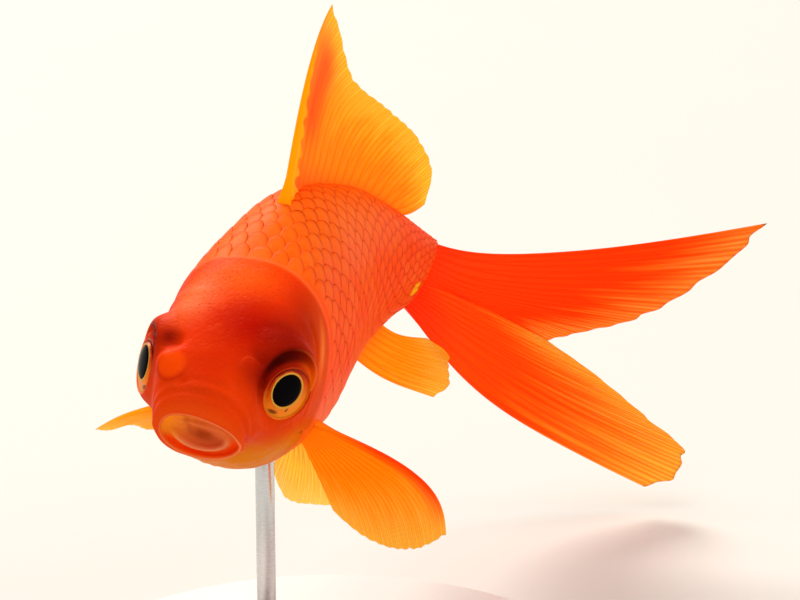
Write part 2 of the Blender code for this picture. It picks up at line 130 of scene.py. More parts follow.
def bend(points):
    # the spine's point, plus left and up along its own sideways and upright directions
    left, along, up = np.moveaxis(np.asarray(points, dtype=float), -1, 0)
    middle = np.stack([np.interp(along, spineAt, spineLine[:, k]) for k in range(3)], -1)
    turn = gained("bodyBend", along) + gained("finBend", along)
    sideways = np.stack([np.cos(turn), -np.sin(turn), 0 * turn], -1)
    upright = np.cross(sideways, spineDirection(along))
    roll = gained("twist", along)[..., None]
    leftAxis = sideways * np.cos(roll) - upright * np.sin(roll)
    upAxis = upright * np.cos(roll) + sideways * np.sin(roll)
    return (middle + leftAxis * left[..., None] + upAxis * up[..., None]) * fish["length"]


# the fish hangs on the rod of the stand, so the rod's top gives the snout's place
bankTurn = np.array(Matrix.Rotation(math.radians(fish["bank"]), 3, "Y"))
rodLow, rodHigh = map(np.array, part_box("stand_rod"))
rodMiddle = (rodLow + rodHigh) / 2
rodMeetsBelly = np.array([rodMiddle[0], rodMiddle[1], rodHigh[2] - fish["rodDepth"]])
bellyThere = bend([0.0, fish["rodAlong"], float(curve(fish["belly"], fish["rodAlong"]))])
snoutPlace = rodMeetsBelly - bankTurn @ bellyThere


def place(points):
    # fish coordinates to the world: bent, leant over and set on the rod
    return bend(points) @ bankTurn.T + snoutPlace


def inHead(worldPoint):
    # fish coordinates of a point in the head, where the spine is still straight
    return bankTurn.T @ (np.array(worldPoint) - snoutPlace) / fish["length"]


def bodyPoint(along, angle, lift=0.0):
    # left = width |cos|^p and up = widest + reach |sin|^p, rounded off over the snout
    along, angle = np.broadcast_arrays(along, angle)
    nose = np.sqrt(1 - (1 - np.clip(along / fish["noseLength"], 0, 1))**2)
    widest = curve(fish["widest"], along)
    cosine, sine = np.cos(angle), np.sin(angle)
    above = sine >= 0
    power = 2 / np.where(above, curve(fish["roundAbove"], along), curve(fish["roundBelow"], along))
    reach = np.where(above, curve(fish["back"], along) - widest, widest - curve(fish["belly"], along))
    width = curve(fish["halfWidth"], along) * nose + lift
    left = width * np.sign(cosine) * np.abs(cosine)**power
    up = widest + (reach * nose + lift) * np.sign(sine) * np.abs(sine)**power
    return np.stack([left, along, up], -1)


def neckLine(angle):
    # gill edge + swing |sin|^p, towards the nape above and the throat below
    sine = np.sin(angle)
    swing = np.where(sine > 0, fish["nape"], fish["throat"]) - fish["gillEdge"]
    return fish["gillEdge"] + swing * np.abs(sine)**fish["neckPower"]


def unit(vectors):
    # each vector over its length
    return vectors / np.maximum(np.linalg.norm(vectors, axis=-1, keepdims=True), 1e-12)


def gridNormals(grid, wrap):
    # cross product of the differences along the rows and along the columns
    rows = np.gradient(grid, axis=-3)
    if wrap:
        columns = np.roll(grid, -1, axis=-2) - np.roll(grid, 1, axis=-2)
    else:
        columns = np.gradient(grid, axis=-2)
    return unit(np.cross(rows, columns))


# Meshes

def makeMesh(name, points, faces, corners, layers):
    # faces: index arrays, one per number of corners; corners: their places on the OFBake map
    mesh = bpy.data.meshes.new(name)
    loops = np.concatenate([part.ravel() for part in faces])
    totals = np.concatenate([np.full(len(part), part.shape[1]) for part in faces])
    mesh.vertices.add(len(points))
    mesh.vertices.foreach_set("co", points.astype(np.float32).ravel())
    mesh.loops.add(len(loops))
    mesh.loops.foreach_set("vertex_index", loops.astype(np.int32))
    mesh.polygons.add(len(totals))
    mesh.polygons.foreach_set("loop_start", (np.cumsum(totals) - totals).astype(np.int32))
    mesh.polygons.foreach_set("loop_total", totals.astype(np.int32))
    mesh.update(calc_edges=True)
    mesh.shade_smooth()
    bakeMap = mesh.uv_layers.new(name="OFBake")
    flat = np.concatenate([part.reshape(-1, 2) for part in corners])
    bakeMap.uv.foreach_set("vector", flat.astype(np.float32).ravel())
    for layerName, values in layers.items():
        layer = mesh.attributes.new(layerName, "FLOAT_VECTOR", "POINT")
        layer.data.foreach_set("vector", values.astype(np.float32).ravel())
    piece = bpy.data.objects.new(name, mesh)
    bpy.context.scene.collection.objects.link(piece)
    return piece


def quadsOf(index):
    # four corners round each cell of a grid of point numbers
    return np.stack([index[..., :-1, :-1], index[..., 1:, :-1],
                     index[..., 1:, 1:], index[..., :-1, 1:]], -1).reshape(-1, 4)


def tubeMesh(name, grid, bakeMap, layers):
    # rows of closed rings; the last column joins the first, and a fan closes each end
    rows, columns = grid.shape[:2]
    index = np.arange(rows * columns).reshape(rows, columns)
    around = np.concatenate([index, index[:, :1]], axis=1)
    first, last = np.full(columns, rows * columns), np.full(columns, rows * columns + 1)
    frontFan = np.stack([first, around[0, :-1], around[0, 1:]], -1)
    backFan = np.stack([around[-1, :-1], last, around[-1, 1:]], -1)
    points = np.vstack([grid.reshape(-1, 3), grid[0].mean(0), grid[-1].mean(0)])
    flatMap = bakeMap.reshape(-1, 2)
    mapIndex = np.arange(len(flatMap)).reshape(bakeMap.shape[:2])
    frontMap = np.stack([bakeMap[0, :-1], bakeMap[0, :-1], bakeMap[0, 1:]], 1)
    backMap = np.stack([bakeMap[-1, :-1], bakeMap[-1, :-1], bakeMap[-1, 1:]], 1)
    ends = {key: np.vstack([value.reshape(-1, 3), value[0].mean(0), value[-1].mean(0)])
            for key, value in layers.items()}
    return makeMesh(name, points, [quadsOf(around), np.vstack([frontFan, backFan])],
                    [flatMap[quadsOf(mapIndex)], np.vstack([frontMap, backMap])], ends)


def tubeMap(rows, columns):
    # even map: rows across, columns up, with one column more than the ring has points
    across, up = np.meshgrid(np.linspace(0.01, 0.99, rows), np.linspace(0.01, 0.99, columns + 1),
                             indexing="ij")
    return np.stack([across, up], -1)


def plateMesh(name, middle, half, frontMap, backMap, layers):
    # thin closed plates: (plate, row, column) grids; both sides share the rim's points
    normal = gridNormals(middle, wrap=False)
    count, rows, columns = middle.shape[:3]
    front = np.arange(count * rows * columns).reshape(count, rows, columns)
    inner = (slice(None), slice(1, -1), slice(1, -1))
    back = front.copy()
    back[inner] = front.size + np.arange(count * (rows - 2) * (columns - 2)).reshape(
        count, rows - 2, columns - 2)
    offset = normal * half[..., None]
    rim = np.ones((count, rows, columns, 1))
    rim[inner] = 0
    points = np.vstack([(middle + offset * (1 - rim)).reshape(-1, 3),
                        (middle - offset)[inner].reshape(-1, 3)])
    both = {key: np.vstack([value.reshape(-1, 3), value[inner].reshape(-1, 3)])
            for key, value in layers.items()}
    mapIndex = quadsOf(np.arange(front.size).reshape(front.shape))
    return makeMesh(name, points, [quadsOf(front), quadsOf(back)[:, ::-1]],
                    [frontMap.reshape(-1, 2)[mapIndex], backMap.reshape(-1, 2)[mapIndex[:, ::-1]]],
                    both)


def dress(piece, material, slot, *nodes):
    # its material, and the nodes of the solids that it replaces; the slot is not used
    piece.data.materials.append(material)
    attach(piece, "root")
    if nodes:
        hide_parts(*nodes)


# Shaders

class Wire:
    # one socket of a shader tree; sums on it become Math nodes

    def __init__(self, tree, socket):
        self.tree = tree
        self.socket = socket

    def node(self, kind, settings, values, output=0):
        # a new node: its settings first, then a value or a wire for each socket
        made = self.tree.nodes.new(kind)
        for key, value in settings.items():
            setattr(made, key, value)
        for key, value in values.items():
            if isinstance(value, Wire):
                self.tree.links.new(value.socket, made.inputs[key])
            else:
                made.inputs[key].default_value = value
        return Wire(self.tree, made.outputs[output])

    def maths(self, operation, *others):
        return self.node("ShaderNodeMath", {"operation": operation}, dict(enumerate((self, *others))))

    def vector(self, operation, other, output=0):
        return self.node("ShaderNodeVectorMath", {"operation": operation}, {0: self, 1: other}, output)

    def __add__(self, other):
        return self.maths("ADD", other)

    def __mul__(self, other):
        return self.maths("MULTIPLY", other)

    def __sub__(self, other):
        return self.maths("SUBTRACT", other)

    def __rsub__(self, other):
        return self.node("ShaderNodeMath", {"operation": "SUBTRACT"}, {0: other, 1: self})

    def __abs__(self):
        return self.maths("ABSOLUTE")

    __radd__ = __add__
    __rmul__ = __mul__

    def rise(self, low, high):
        # smooth step from 0 at low to 1 at high
        return self.node("ShaderNodeMapRange", {"interpolation_type": "SMOOTHSTEP"},
                         {"Value": self, "From Min": low, "From Max": high})

    def near(self, middle, reach):
        # 1 at the middle, 0 from the reach on
        return 1 - abs(self - middle).rise(0.0, reach)

    def split(self):
        # its three parts: left, along and up, or x, y and z
        made = self.node("ShaderNodeSeparateXYZ", {}, {0: self}).socket.node
        return [Wire(self.tree, made.outputs[k]) for k in range(3)]

    def blend(self, colour, other):
        # this wire is the share of the other colour
        plain = {6: colour, 7: other}
        full = {key: value if isinstance(value, Wire) else (*value, 1.0) for key, value in plain.items()}
        return self.node("ShaderNodeMix", {"data_type": "RGBA"}, {0: self, **full}, 2)

    def noise(self, scale, detail=3.0, roughness=0.5):
        # cloudy pattern between 0 and 1, mostly near 0.5
        return self.node("ShaderNodeTexNoise", {}, {"Vector": self, "Scale": scale, "Detail": detail,
                                                    "Roughness": roughness})

    def cells(self, scale):
        # distance to the nearest of scattered points
        return self.node("ShaderNodeTexVoronoi", {}, {"Vector": self, "Scale": scale})


def spot(where, centre, size):
    # 1 at the centre of an ellipsoid, falling smoothly to 0 at its surface
    offset = where.vector("SUBTRACT", centre).vector("DIVIDE", size)
    return 1 - offset.vector("LENGTH", (0, 0, 0), 1).rise(0.0, 1.0)


def newMaterial(name, constants):
    # a Principled material; the constants are set on the shader's own sockets
    material = bpy.data.materials.new(name)
    material.use_nodes = True
    shader = material.node_tree.nodes["Principled BSDF"]
    for key, value in constants.items():
        shader.inputs[key].default_value = value
    return material, shader, Wire(material.node_tree, None)


def attribute(start, name):
    # what the piece's mesh carries under this name
    return start.node("ShaderNodeAttribute", {"attribute_name": name}, {}, 1)


def objectPlace(start):
    # the point on the piece, in metres
    return start.node("ShaderNodeTexCoord", {}, {}, 3)


def streaky(start, across, along, scale):
    # flat noise over two wires
    both = start.node("ShaderNodeCombineXYZ", {}, {0: across, 1: along})
    return start.node("ShaderNodeTexNoise", {"noise_dimensions": "2D"},
                      {"Vector": both, "Scale": scale, "Detail": 3.0})


def washed(colour, *washes):
    # each wash, a share and a tone, laid over the colour in turn
    for share, tone in washes:
        colour = share.blend(colour, tone)
    return colour


def bumpy(start, height, distance, strength):
    # the surface's normal, tilted by a height of at most the distance in metres
    return start.node("ShaderNodeBump", {}, {"Height": height, "Distance": distance, "Strength": strength})


def connect(shader, **wires):
    # a wire for each named input, with _ for a space in the name
    for key, wire in wires.items():
        wire.tree.links.new(wire.socket, shader.inputs[key.replace("_", " ")])


# Skin: from the back of the mouth, over the lips, along the body to the tail root

skin = {
    "columns": 318,
    "cavityRows": 24,
    "lipRows": 10,
    "headRows": 150,
    "bodyRows": 96,
    "headEnd": 0.29,              # share of the way where the fine rows end
    "coatDepth": 0.0020,          # how far the skin lies inside the solids
    "mouthLeft": 0.0055,          # the mouth's oval: its middle, half sizes and roll in degrees
    "mouthUp": -0.0366,
    "mouthWide": 0.0497,
    "mouthTall": 0.0296,
    "mouthRoll": 12.0,
    "mouthPower": 2.15,
    "lipRadius": 0.0030,
    "cavityEnd": 0.043,
    "valve": 0.05,                # how far the folds inside the lips reach in
    "mapStart": 0.12,             # the mouth takes this share of the map's width
}
eyeShape = {                      # where the sides differ: 1 is the left eye, -1 the right one
    "radius": 0.044,
    "aimOut": {1: 49.0, -1: 60.0},           # degrees from straight ahead: both glance left
    "aimUp": {1: -6.0, -1: 7.0},
    "raised": {1: 0.0060, -1: 0.0},          # up and out from their places in the solids
    "shift": {1: 0.0, -1: 0.0044},
    "pupil": 0.0211,              # radii across the aim
    "ring": 0.0240,
    "iris": 0.0322,
    "irisDrop": 0.0062,           # the iris sits this much lower than the pupil,
    "irisAhead": -0.0045,         # and this much ahead of it: below 0 is behind
    "irisHeight": 0.0341,         # heights along the aim
    "irisRise": 0.0049,
    "ringHeight": 0.0393,
    "ringBulge": 0.0009,
    "lensHeight": 0.0388,
    "lensBulge": 0.0040,
    "lidHeight": 0.0345,
    "lidEdge": 0.0333,
    "lidRoll": 0.0015,            # radius of the lid's rolled edge
    "socket": 0.0388,             # the outline round the socket, shifted back and up
    "socketBack": {1: 0.0025, -1: 0.0072},
    "socketUp": {1: 0.0125, -1: 0.0092},
    "socketTilt": {1: -0.06, -1: 0.10},
    "foldHeight": 0.0016,         # the fold over the lid, the groove above it and the brow
    "grooveDepth": 0.0052,
    "browHeight": 0.0030,
    "outlineHeight": 0.0010,
    "blend": 0.021,
    "columns": {"iris": 120, "pupil": 96, "lid": 160},
}


def mouthRim(angle):
    # bisects for the place where the body's surface crosses the mouth's oval
    near, far = np.full(angle.shape, 0.0002), np.full(angle.shape, 0.06)
    roll = math.radians(skin["mouthRoll"])
    for _ in range(30):
        middle = (near + far) / 2
        crossing = bodyPoint(middle, angle, -skin["coatDepth"])
        left, up = crossing[..., 0] - skin["mouthLeft"], crossing[..., 2] - skin["mouthUp"]
        wide = (left * math.cos(roll) - up * math.sin(roll)) / skin["mouthWide"]
        tall = (up * math.cos(roll) + left * math.sin(roll)) / skin["mouthTall"]
        oval = np.abs(wide)**skin["mouthPower"] + np.abs(tall)**skin["mouthPower"]
        near = np.where(oval < 1, middle, near)
        far = np.where(oval < 1, far, middle)
    return (near + far) / 2


def eyeAxes(side):
    # centre, aim, the eye's own up and its own forward, in fish coordinates
    low, high = map(np.array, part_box("eye_left" if side > 0 else "eye_right"))
    out, rise = math.radians(eyeShape["aimOut"][side]), math.radians(eyeShape["aimUp"][side])
    level = math.cos(rise)
    aim = np.array([side * math.sin(out) * level, -math.cos(out) * level, math.sin(rise)])
    up = unit(np.array([0.0, 0.0, 1.0]) - aim * aim[2])
    moved = np.array([side * eyeShape["shift"][side], 0, eyeShape["raised"][side]])
    centre = inHead((low + high) / 2) + moved
    return centre, aim, up, np.cross(aim, up) * side


def eyeCoordinates(points, side):
    # forward and upward across the aim, height along it, and the aim
    centre, aim, up, forward = eyeAxes(side)
    offset = points - centre
    return offset @ forward, offset @ up, offset @ aim, aim


def lidMeasures(points, side):
    # distance outside the lid's edge, distance inside the socket's outline, clock angle, height
    ahead, above, height, aim = eyeCoordinates(points, side)
    fromIris = np.hypot(ahead - eyeShape["irisAhead"], above + eyeShape["irisDrop"])
    fromSocket = np.hypot(ahead + eyeShape["socketBack"][side], above - eyeShape["socketUp"][side])
    outsideLid, insideSocket = fromIris - eyeShape["lidEdge"], eyeShape["socket"] - fromSocket
    return outsideLid, insideSocket, np.arctan2(ahead, above), height, ahead, aim


def shapeOrbit(points, side):
    # moves the skin along the eye's aim: level with the lid's edge, up to the socket's outline,
    # then back to the head; a fold over the lid, a groove above it, a low ridge at the outline
    outsideLid, insideSocket, clock, height, ahead, aim = lidMeasures(points, side)
    onSide = (height > -0.005) & (points[..., 0] * side > 0)
    wide = np.maximum(outsideLid, 0) + np.maximum(insideSocket, 0)
    share = np.clip(outsideLid / np.maximum(wide, 1e-4), 0, 1)
    brow = 0.5 + 0.5 * np.cos(np.clip(clock - 0.25, -math.pi, math.pi))
    room = smoothStep(wide, 0.003, 0.006)
    outer = eyeShape["lidHeight"] + 0.0005 + eyeShape["socketTilt"][side] * ahead
    target = eyeShape["lidHeight"] + (outer - eyeShape["lidHeight"]) * share
    target += room * eyeShape["foldHeight"] * hump(share, 0.28, 0.20)
    target -= room * eyeShape["grooveDepth"] * brow * hump(share, 0.68, 0.20)
    target -= 5.0 * np.clip(-outsideLid, 0, 0.006)
    outsideBoth = np.minimum(outsideLid, -insideSocket)
    hug = (1 - smoothStep(outsideBoth, 0.0, eyeShape["blend"])) * onSide
    behindEye = smoothStep(-np.sin(clock), -0.3, 0.8)
    ridge = eyeShape["outlineHeight"] * behindEye * hump(insideSocket, 0.0, 0.0024)
    ridge += eyeShape["browHeight"] * brow**2 * hump(insideSocket, -0.0085, 0.0075)
    outward = (target - height) * hug + ridge * onSide
    return points + outward[..., None] * aim


headForms = [                     # (left, along, up), size, height, sides: left 1, right -1
    ((0.048, 0.066, 0.049), 0.0115, 0.0056, (1,)),       # nostril flaps
    ((0.051, 0.062, 0.036), 0.0175, 0.0135, (-1,)),
    ((0.055, 0.082, 0.056), 0.0085, -0.0060, (1,)),      # the pits behind them
    ((0.052, 0.082, 0.060), 0.0105, -0.0085, (-1,)),
    ((0.026, 0.034, 0.026), 0.0060, -0.0030, (-1,)),     # and the small ones in front
    ((0.038, 0.045, 0.028), 0.0055, -0.0022, (1,)),
    ((0.000, 0.034, 0.036), 0.0150, 0.0018, (1,)),       # bridge of the snout
    ((0.030, 0.030, 0.010), 0.0110, 0.0010, (1, -1)),    # sides of the upper jaw
    ((0.060, 0.052, -0.030), 0.0120, -0.0022, (1, -1)),  # hollow beside the mouth's corner
    ((0.082, 0.150, -0.055), 0.0240, 0.0020, (1, -1)),   # cheek
    ((0.000, 0.150, 0.110), 0.0500, 0.0010, (1,)),       # crown
    ((0.068, 0.125, 0.082), 0.0240, 0.0045, (-1,)),      # and its right side, above the brow
    ((0.020, 0.085, -0.096), 0.0160, -0.0016, (1, -1)),  # hollows under the chin
]


def headRelief(points, along, angle, behindLip):
    # sum of rounded bumps, lip creases, cheek grooves and the gill cover's plates
    relief = np.zeros(along.shape)
    for centre, size, height, sides in headForms:
        for side in sides:
            distance = np.linalg.norm(points - np.array(centre) * np.array([side, 1, 1]), axis=-1)
            relief += height * np.exp(-(distance / size)**2)
    sine = np.sin(angle)
    onSide = smoothStep(np.abs(np.cos(angle)), 0.12, 0.35)
    below = smoothStep(-sine, 0.1, 0.6)
    lip, crease = hump(behindLip, 0.006, 0.006), hump(behindLip, 0.0165, 0.0045)
    chin = below * smoothStep(behindLip, 0.002, 0.014) * (1 - smoothStep(behindLip, 0.03, 0.06))
    jaw = smoothStep(-sine, 0.5, 0.4) * smoothStep(along, 0.02, 0.03) * (1 - smoothStep(along, 0.10, 0.08))
    relief += 0.0012 * lip - 0.0024 * crease - 0.0120 * chin - 0.0095 * jaw
    relief -= 0.0012 * hump(behindLip, 0.030, 0.004) * smoothStep(sine, -0.5, 0.6)
    fromNeck = neckLine(angle) - along
    relief += 0.0022 * smoothStep(fromNeck, -0.001, 0.004) * (1 - smoothStep(fromNeck, 0.02, 0.05))
    relief -= 0.0012 * hump(fromNeck, -0.004, 0.004)
    preopercle = 0.212 - 0.060 * np.abs(sine - 0.15)**1.6
    relief -= 0.0036 * hump(along, preopercle, 0.0042) * onSide * smoothStep(0.62 - np.abs(sine), 0, 0.2)
    relief += 0.0014 * hump(along, preopercle - 0.012, 0.009) * onSide
    subopercle = -0.52 - 0.6 * (along - 0.20)
    relief -= 0.0026 * hump(sine, subopercle, 0.040) * smoothStep(along, 0.17, 0.03) * (fromNeck > 0)
    gillFolds = np.sin((np.abs(points[..., 0]) - 0.30 * (along - 0.06)) * 420) * (sine < 0)
    relief += 0.0007 * gillFolds * hump(along, 0.20, 0.05) * smoothStep(-sine, 0.75, 0.2) * (fromNeck > 0)
    return relief


def skinMap(alongShare, turnShare):
    # the skin's own unwrap: along the body across the map, round the body up the map
    return np.stack([skin["mapStart"] + (0.99 - skin["mapStart"]) * alongShare,
                     0.005 + 0.99 * turnShare + 0 * alongShare], -1)


def skinGrid():
    # rings: a bowl inside the mouth, half a turn over the lips, then the body's sections
    angle = np.linspace(0, 2 * np.pi, skin["columns"], endpoint=False)
    rim = mouthRim(angle)
    depth = -skin["coatDepth"]
    step = 0.0004
    crest = bodyPoint(rim, angle, depth)
    back = unit(bodyPoint(rim + step, angle, depth) - crest)
    around = unit(np.roll(crest, -1, axis=0) - np.roll(crest, 1, axis=0))
    out = unit(np.cross(back, around))
    inward = np.cross(out, around)
    inward = inward * np.sign(-(inward * back).sum(-1, keepdims=True))
    lipEnd = np.arctan2(-out[:, 1], inward[:, 1])
    share = np.linspace(1, 0, skin["lipRows"], endpoint=False)[:, None]
    roll = (share * lipEnd)[..., None]
    radius = (skin["lipRadius"] * (1 + 0.25 * np.clip(-np.sin(angle), 0, 1)))[:, None]
    lips = crest - out * radius + radius * (np.cos(roll) * out + np.sin(roll) * inward)

    turn = np.radians(np.linspace(88, 3, skin["cavityRows"]))[:, None]
    fold = skin["valve"] * np.abs(np.sin(angle)) * hump(np.degrees(turn), 23, 8)
    middle = np.array([skin["mouthLeft"], 0, skin["mouthUp"] - 0.002])
    edge = lips[0] - middle
    inner = (1 - 0.97 * np.sin(turn)**1.3 - fold)[..., None] * edge * np.array([1, 0, 1]) + middle
    inner[..., 1] = edge[:, 1] + (skin["cavityEnd"] - edge[:, 1]) * np.sin(turn)
    inner[..., 1] -= 0.010 * fold / skin["valve"]

    way = np.concatenate([np.linspace(0, skin["headEnd"], skin["headRows"], endpoint=False),
                          np.linspace(skin["headEnd"], 1, skin["bodyRows"])])[:, None]
    along = rim + (1 - rim) * way
    body = bodyPoint(along, angle, depth)
    normal = gridNormals(body, wrap=True)
    behindLip = along - rim
    body = body + normal * headRelief(body, along, angle, behindLip)[..., None]
    for side in (1, -1):
        body = shapeOrbit(body, side)

    grid = np.concatenate([inner, lips, body])
    inside = np.concatenate([1 + np.sin(turn) + 0 * fold, share + 0 * radius[:, 0], 0 * along])
    behind = np.concatenate([0 * fold, 0 * share * angle, behindLip])
    folds = np.concatenate([fold, 0 * share * angle, 0 * along])
    mouthPlace = np.stack([inside, behind, folds], -1)
    lids = [lidMeasures(grid, side)[:3] for side in (1, -1)]
    nearer = grid[..., 0] > 0
    eyePlace = np.stack([np.where(nearer, lids[0][k], lids[1][k]) for k in range(3)], -1)
    mouthRows = len(inner) + len(lips)
    mapRow = np.concatenate([np.linspace(0.01, skin["mapStart"], mouthRows, endpoint=False),
                             skinMap(way[:, 0], 0)[:, 0]])
    turnShare = np.linspace(0, 1, skin["columns"] + 1)
    unwrap = np.stack(np.broadcast_arrays(mapRow[:, None], 0.005 + 0.99 * turnShare), -1)
    return grid, unwrap, {"bodyPlace": grid, "mouthPlace": mouthPlace, "eyePlace": eyePlace}


# Colours shared by the skin and the scales, by place on the body, with painted shade, painted light and a
# painted glint among them

headShadeAndLight = [                     # painted shade and painted light on the head: middle, half size, strength and colour, laid on in this order
    ((-0.010, 0.190, 0.125), (0.090, 0.080, 0.060), 1.00, (1.00, 0.095, 0.004)),    # crown, lighter: painted light from above
    ((0.034, 0.115, 0.080), (0.080, 0.090, 0.075), 0.95, (0.46, 0.004, 0.000)),     # between the eyes: painted shade
    ((0.088, 0.190, 0.068), (0.055, 0.090, 0.080), 0.95, (0.36, 0.006, 0.000)),     # over the left eye, and the next two rows round its front: painted shade
    ((0.078, 0.122, 0.064), (0.058, 0.060, 0.055), 0.92, (0.20, 0.002, 0.000)),
    ((0.058, 0.074, 0.034), (0.042, 0.044, 0.055), 0.88, (0.28, 0.003, 0.000)),
    ((0.000, 0.055, 0.040), (0.050, 0.050, 0.050), 0.50, (0.62, 0.014, 0.000)),     # bridge: painted shade
    ((-0.055, 0.150, 0.100), (0.052, 0.088, 0.057), 0.75, (1.00, 0.185, 0.048)),    # right of the crown, paler: painted light
    ((0.000, 0.018, 0.010), (0.060, 0.036, 0.040), 0.70, (0.62, 0.034, 0.001)),     # snout: painted shade
]


def headColour(where, fine):
    # red above and redder below, then painted shade and painted light, nostril flaps with painted shadow
    # under and behind the right one, pores, golden chin, cheek, a painted highlight on the gill cover, and
    # scuffs
    left, along, up = where.split()
    right = left * -1.0
    # painted shade and painted light on the head, from the table above
    marks = [(spot(where, middle, size) * strength, tone) for middle, size, strength, tone in headShadeAndLight]
    flap = spot(where, (-0.044, 0.054, 0.036), (0.030, 0.030, 0.030))
    disc = spot(where, (0.048, 0.066, 0.049), (0.018, 0.018, 0.018))
    pores = (1 - where.cells(190.0).rise(0.05, 0.36)) * along.rise(0.08, 0.13) * up.rise(0.05, 0.10)
    cheek = abs(left).rise(0.055, 0.10) * along.rise(0.14, 0.24) * up.rise(-0.10, -0.02)
    scuffs = fine.rise(0.50, 0.70) * right.rise(-0.03, 0.04) * up.rise(0.04, 0.09)
    return washed(
        up.rise(-0.03, 0.10).blend((0.74, 0.044, 0.001), (0.80, 0.032, 0.001)), *marks,
        # a painted shadow in a ring under the right nostril flap, then the flap itself lighter orange
        (flap.near(0.28, 0.20) * (1 - up.rise(0.026, 0.042)) * 0.50, (0.45, 0.009, 0.001)),
        (flap.rise(0.15, 0.70) * 0.75, (1.00, 0.075, 0.001)),
        # painted shade in the pit behind the right nostril flap
        (spot(where, (-0.062, 0.090, 0.060), (0.022, 0.026, 0.020)) * 0.9, (0.22, 0.003, 0.000)),
        (pores * (right.rise(-0.08, 0.05) * 0.5 + 0.25), (0.42, 0.010, 0.001)),
        (disc.near(0.28, 0.20) * up.rise(0.044, 0.054) * 0.30, (0.85, 0.060, 0.006)),
        ((1 - up.rise(-0.088, -0.040)) * (1 - along.rise(0.17, 0.30)), (0.74, 0.190, 0.004)),
        (cheek * 0.55, (0.74, 0.066, 0.001)),
        # a painted highlight: a pale streak on the left gill cover
        (spot(where, (0.101, 0.231, 0.034), (0.035, 0.013, 0.060)) * 0.7, (1.00, 0.210, 0.025)),
        (scuffs * 0.30, (1.00, 0.110, 0.012)))


def bodyColour(where):
    # golden belly, orange back, redder towards the tail; the head in front of the neck's line, a
    # pale line along it, and a painted glint, a golden painted highlight, at the tail root
    _, along, up = where.split()
    fine = where.noise(46.0, 3.0)
    neck = along - (0.262 - abs(up).rise(0.02, 0.15) * 0.035)
    # a painted glint: a golden painted highlight near the tail root, made uneven by the noise
    paintedGlint = spot(where, (0.031, 0.926, -0.012), (0.028, 0.030, 0.022)) + (fine - 0.5) * 0.5
    return washed(
        up.rise(-0.16, -0.02).blend((1.00, 0.180, 0.005), (1.00, 0.056, 0.001)),
        (up.rise(0.05, 0.17) * 0.60, (1.00, 0.155, 0.003)),
        (spot(where, (0.09, 0.36, 0.05), (0.10, 0.16, 0.11)) * 0.60, (1.00, 0.072, 0.006)),
        (along.rise(0.58, 0.90) * 0.85, (1.00, 0.042, 0.001)),
        (where.noise(9.0, 4.0).rise(0.42, 0.68) * 0.25, (1.00, 0.120, 0.006)),
        (1 - neck.rise(-0.012, 0.004), headColour(where, fine)),
        (neck.near(0.0, 0.006) * up.rise(-0.08, 0.02) * 0.35, (1.00, 0.170, 0.060)),
        (paintedGlint.rise(0.15, 0.65), (1.0, 0.500, 0.002)))


flesh = {"Subsurface Weight": 0.08, "Subsurface Scale": 0.0012, "Subsurface Radius": (1.0, 0.08, 0.01)}


def skinMaterial():
    # the body's colour, then the mouth with painted shade deep inside it, then the painted shade under the
    # brow and the rims round the eyes
    material, shader, start = newMaterial("wetSkin", {**flesh, "IOR": 1.36, "Specular IOR Level": 0.02})
    where = attribute(start, "bodyPlace")
    inside, behindLip, fold = attribute(start, "mouthPlace").split()
    outsideLid, insideSocket, clock = attribute(start, "eyePlace").split()
    left, _, up = where.split()
    lowHalf = 1 - up.rise(skin["mouthUp"] - 0.010, skin["mouthUp"] + 0.006)
    mouthTone = washed(
        left.rise(-0.040, 0.025).blend((1.0, 0.270, 0.014), (0.72, 0.105, 0.014)),
        (inside.rise(1.10, 1.40) * left.rise(-0.04, 0.0) * 0.5, (0.86, 0.190, 0.060)),
        # darker deep inside the mouth: painted shade
        (inside.rise(1.60, 1.98), (0.55, 0.080, 0.012)),
        (left.near(-0.010, 0.007) * (1 - lowHalf) * 0.40, (0.50, 0.070, 0.012)),
        (fold.rise(0.005, 0.04) * lowHalf * 0.6, (1.00, 0.330, 0.140)),
        ((1 - inside.rise(1.20, 1.34)) * lowHalf, (0.96, 0.060, 0.001)))
    outsideSocket = insideSocket * -1.0
    # painted shade round the lid up to the socket's outline, and a darker painted shadow under the brow
    shade = outsideLid.rise(-0.001, 0.004) * (1 - outsideSocket.rise(-0.002, 0.024))
    browShadow = outsideLid.rise(0.005, 0.012) * insideSocket.rise(-0.0070, 0.0030)
    around = (1 - outsideLid.rise(0.004, 0.018)) * insideSocket.rise(-0.003, 0.001)
    colour = washed(
        bodyColour(where),
        (behindLip.near(0.0, 0.012) * 0.55, (0.88, 0.085, 0.006)),
        (inside.rise(0.35, 0.8), mouthTone),
        (inside.near(0.30, 0.28) * (0.30 + left.rise(-0.05, 0.04) * 0.25), (0.98, 0.330, 0.140)),
        # the painted shade, then the painted shadow under the brow, darkest above the eye
        (shade * clock.near(0.7, 1.9) * 0.80, (0.22, 0.003, 0.000)),
        (browShadow * clock.near(0.35, 1.7) * 0.95, (0.055, 0.001, 0.000)),
        (insideSocket.near(-0.0004, 0.0024) * clock.near(-1.5, 1.6) * 0.55, (1.0, 0.260, 0.040)),
        (around * clock.near(-1.7, 1.5) * 0.75, (0.92, 0.150, 0.001)))
    wrinkles = where.noise(70.0, 5.0, 0.6)
    height = where.cells(150.0).rise(0.0, 0.5) * 0.35 + wrinkles * 0.8
    connect(shader, Base_Color=colour, Roughness=wrinkles.rise(0.3, 0.8) * 0.16 + 0.36,
            Normal=bumpy(start, height, 0.00015, 0.65))
    return material


skinPoints, skinUnwrap, skinLayers = skinGrid()
skinPiece = tubeMesh("skin", place(skinPoints), skinUnwrap, skinLayers)
dress(skinPiece, skinMaterial(), "body_skin", "head", "lower_jaw", "gill_cover_left", "gill_cover_right",
      "trunk", "tail_stem")
print("skin done:", len(skinPiece.data.polygons), "faces")


# Scales: round plates in staggered rows, roots sunk in the skin and free edges lifted

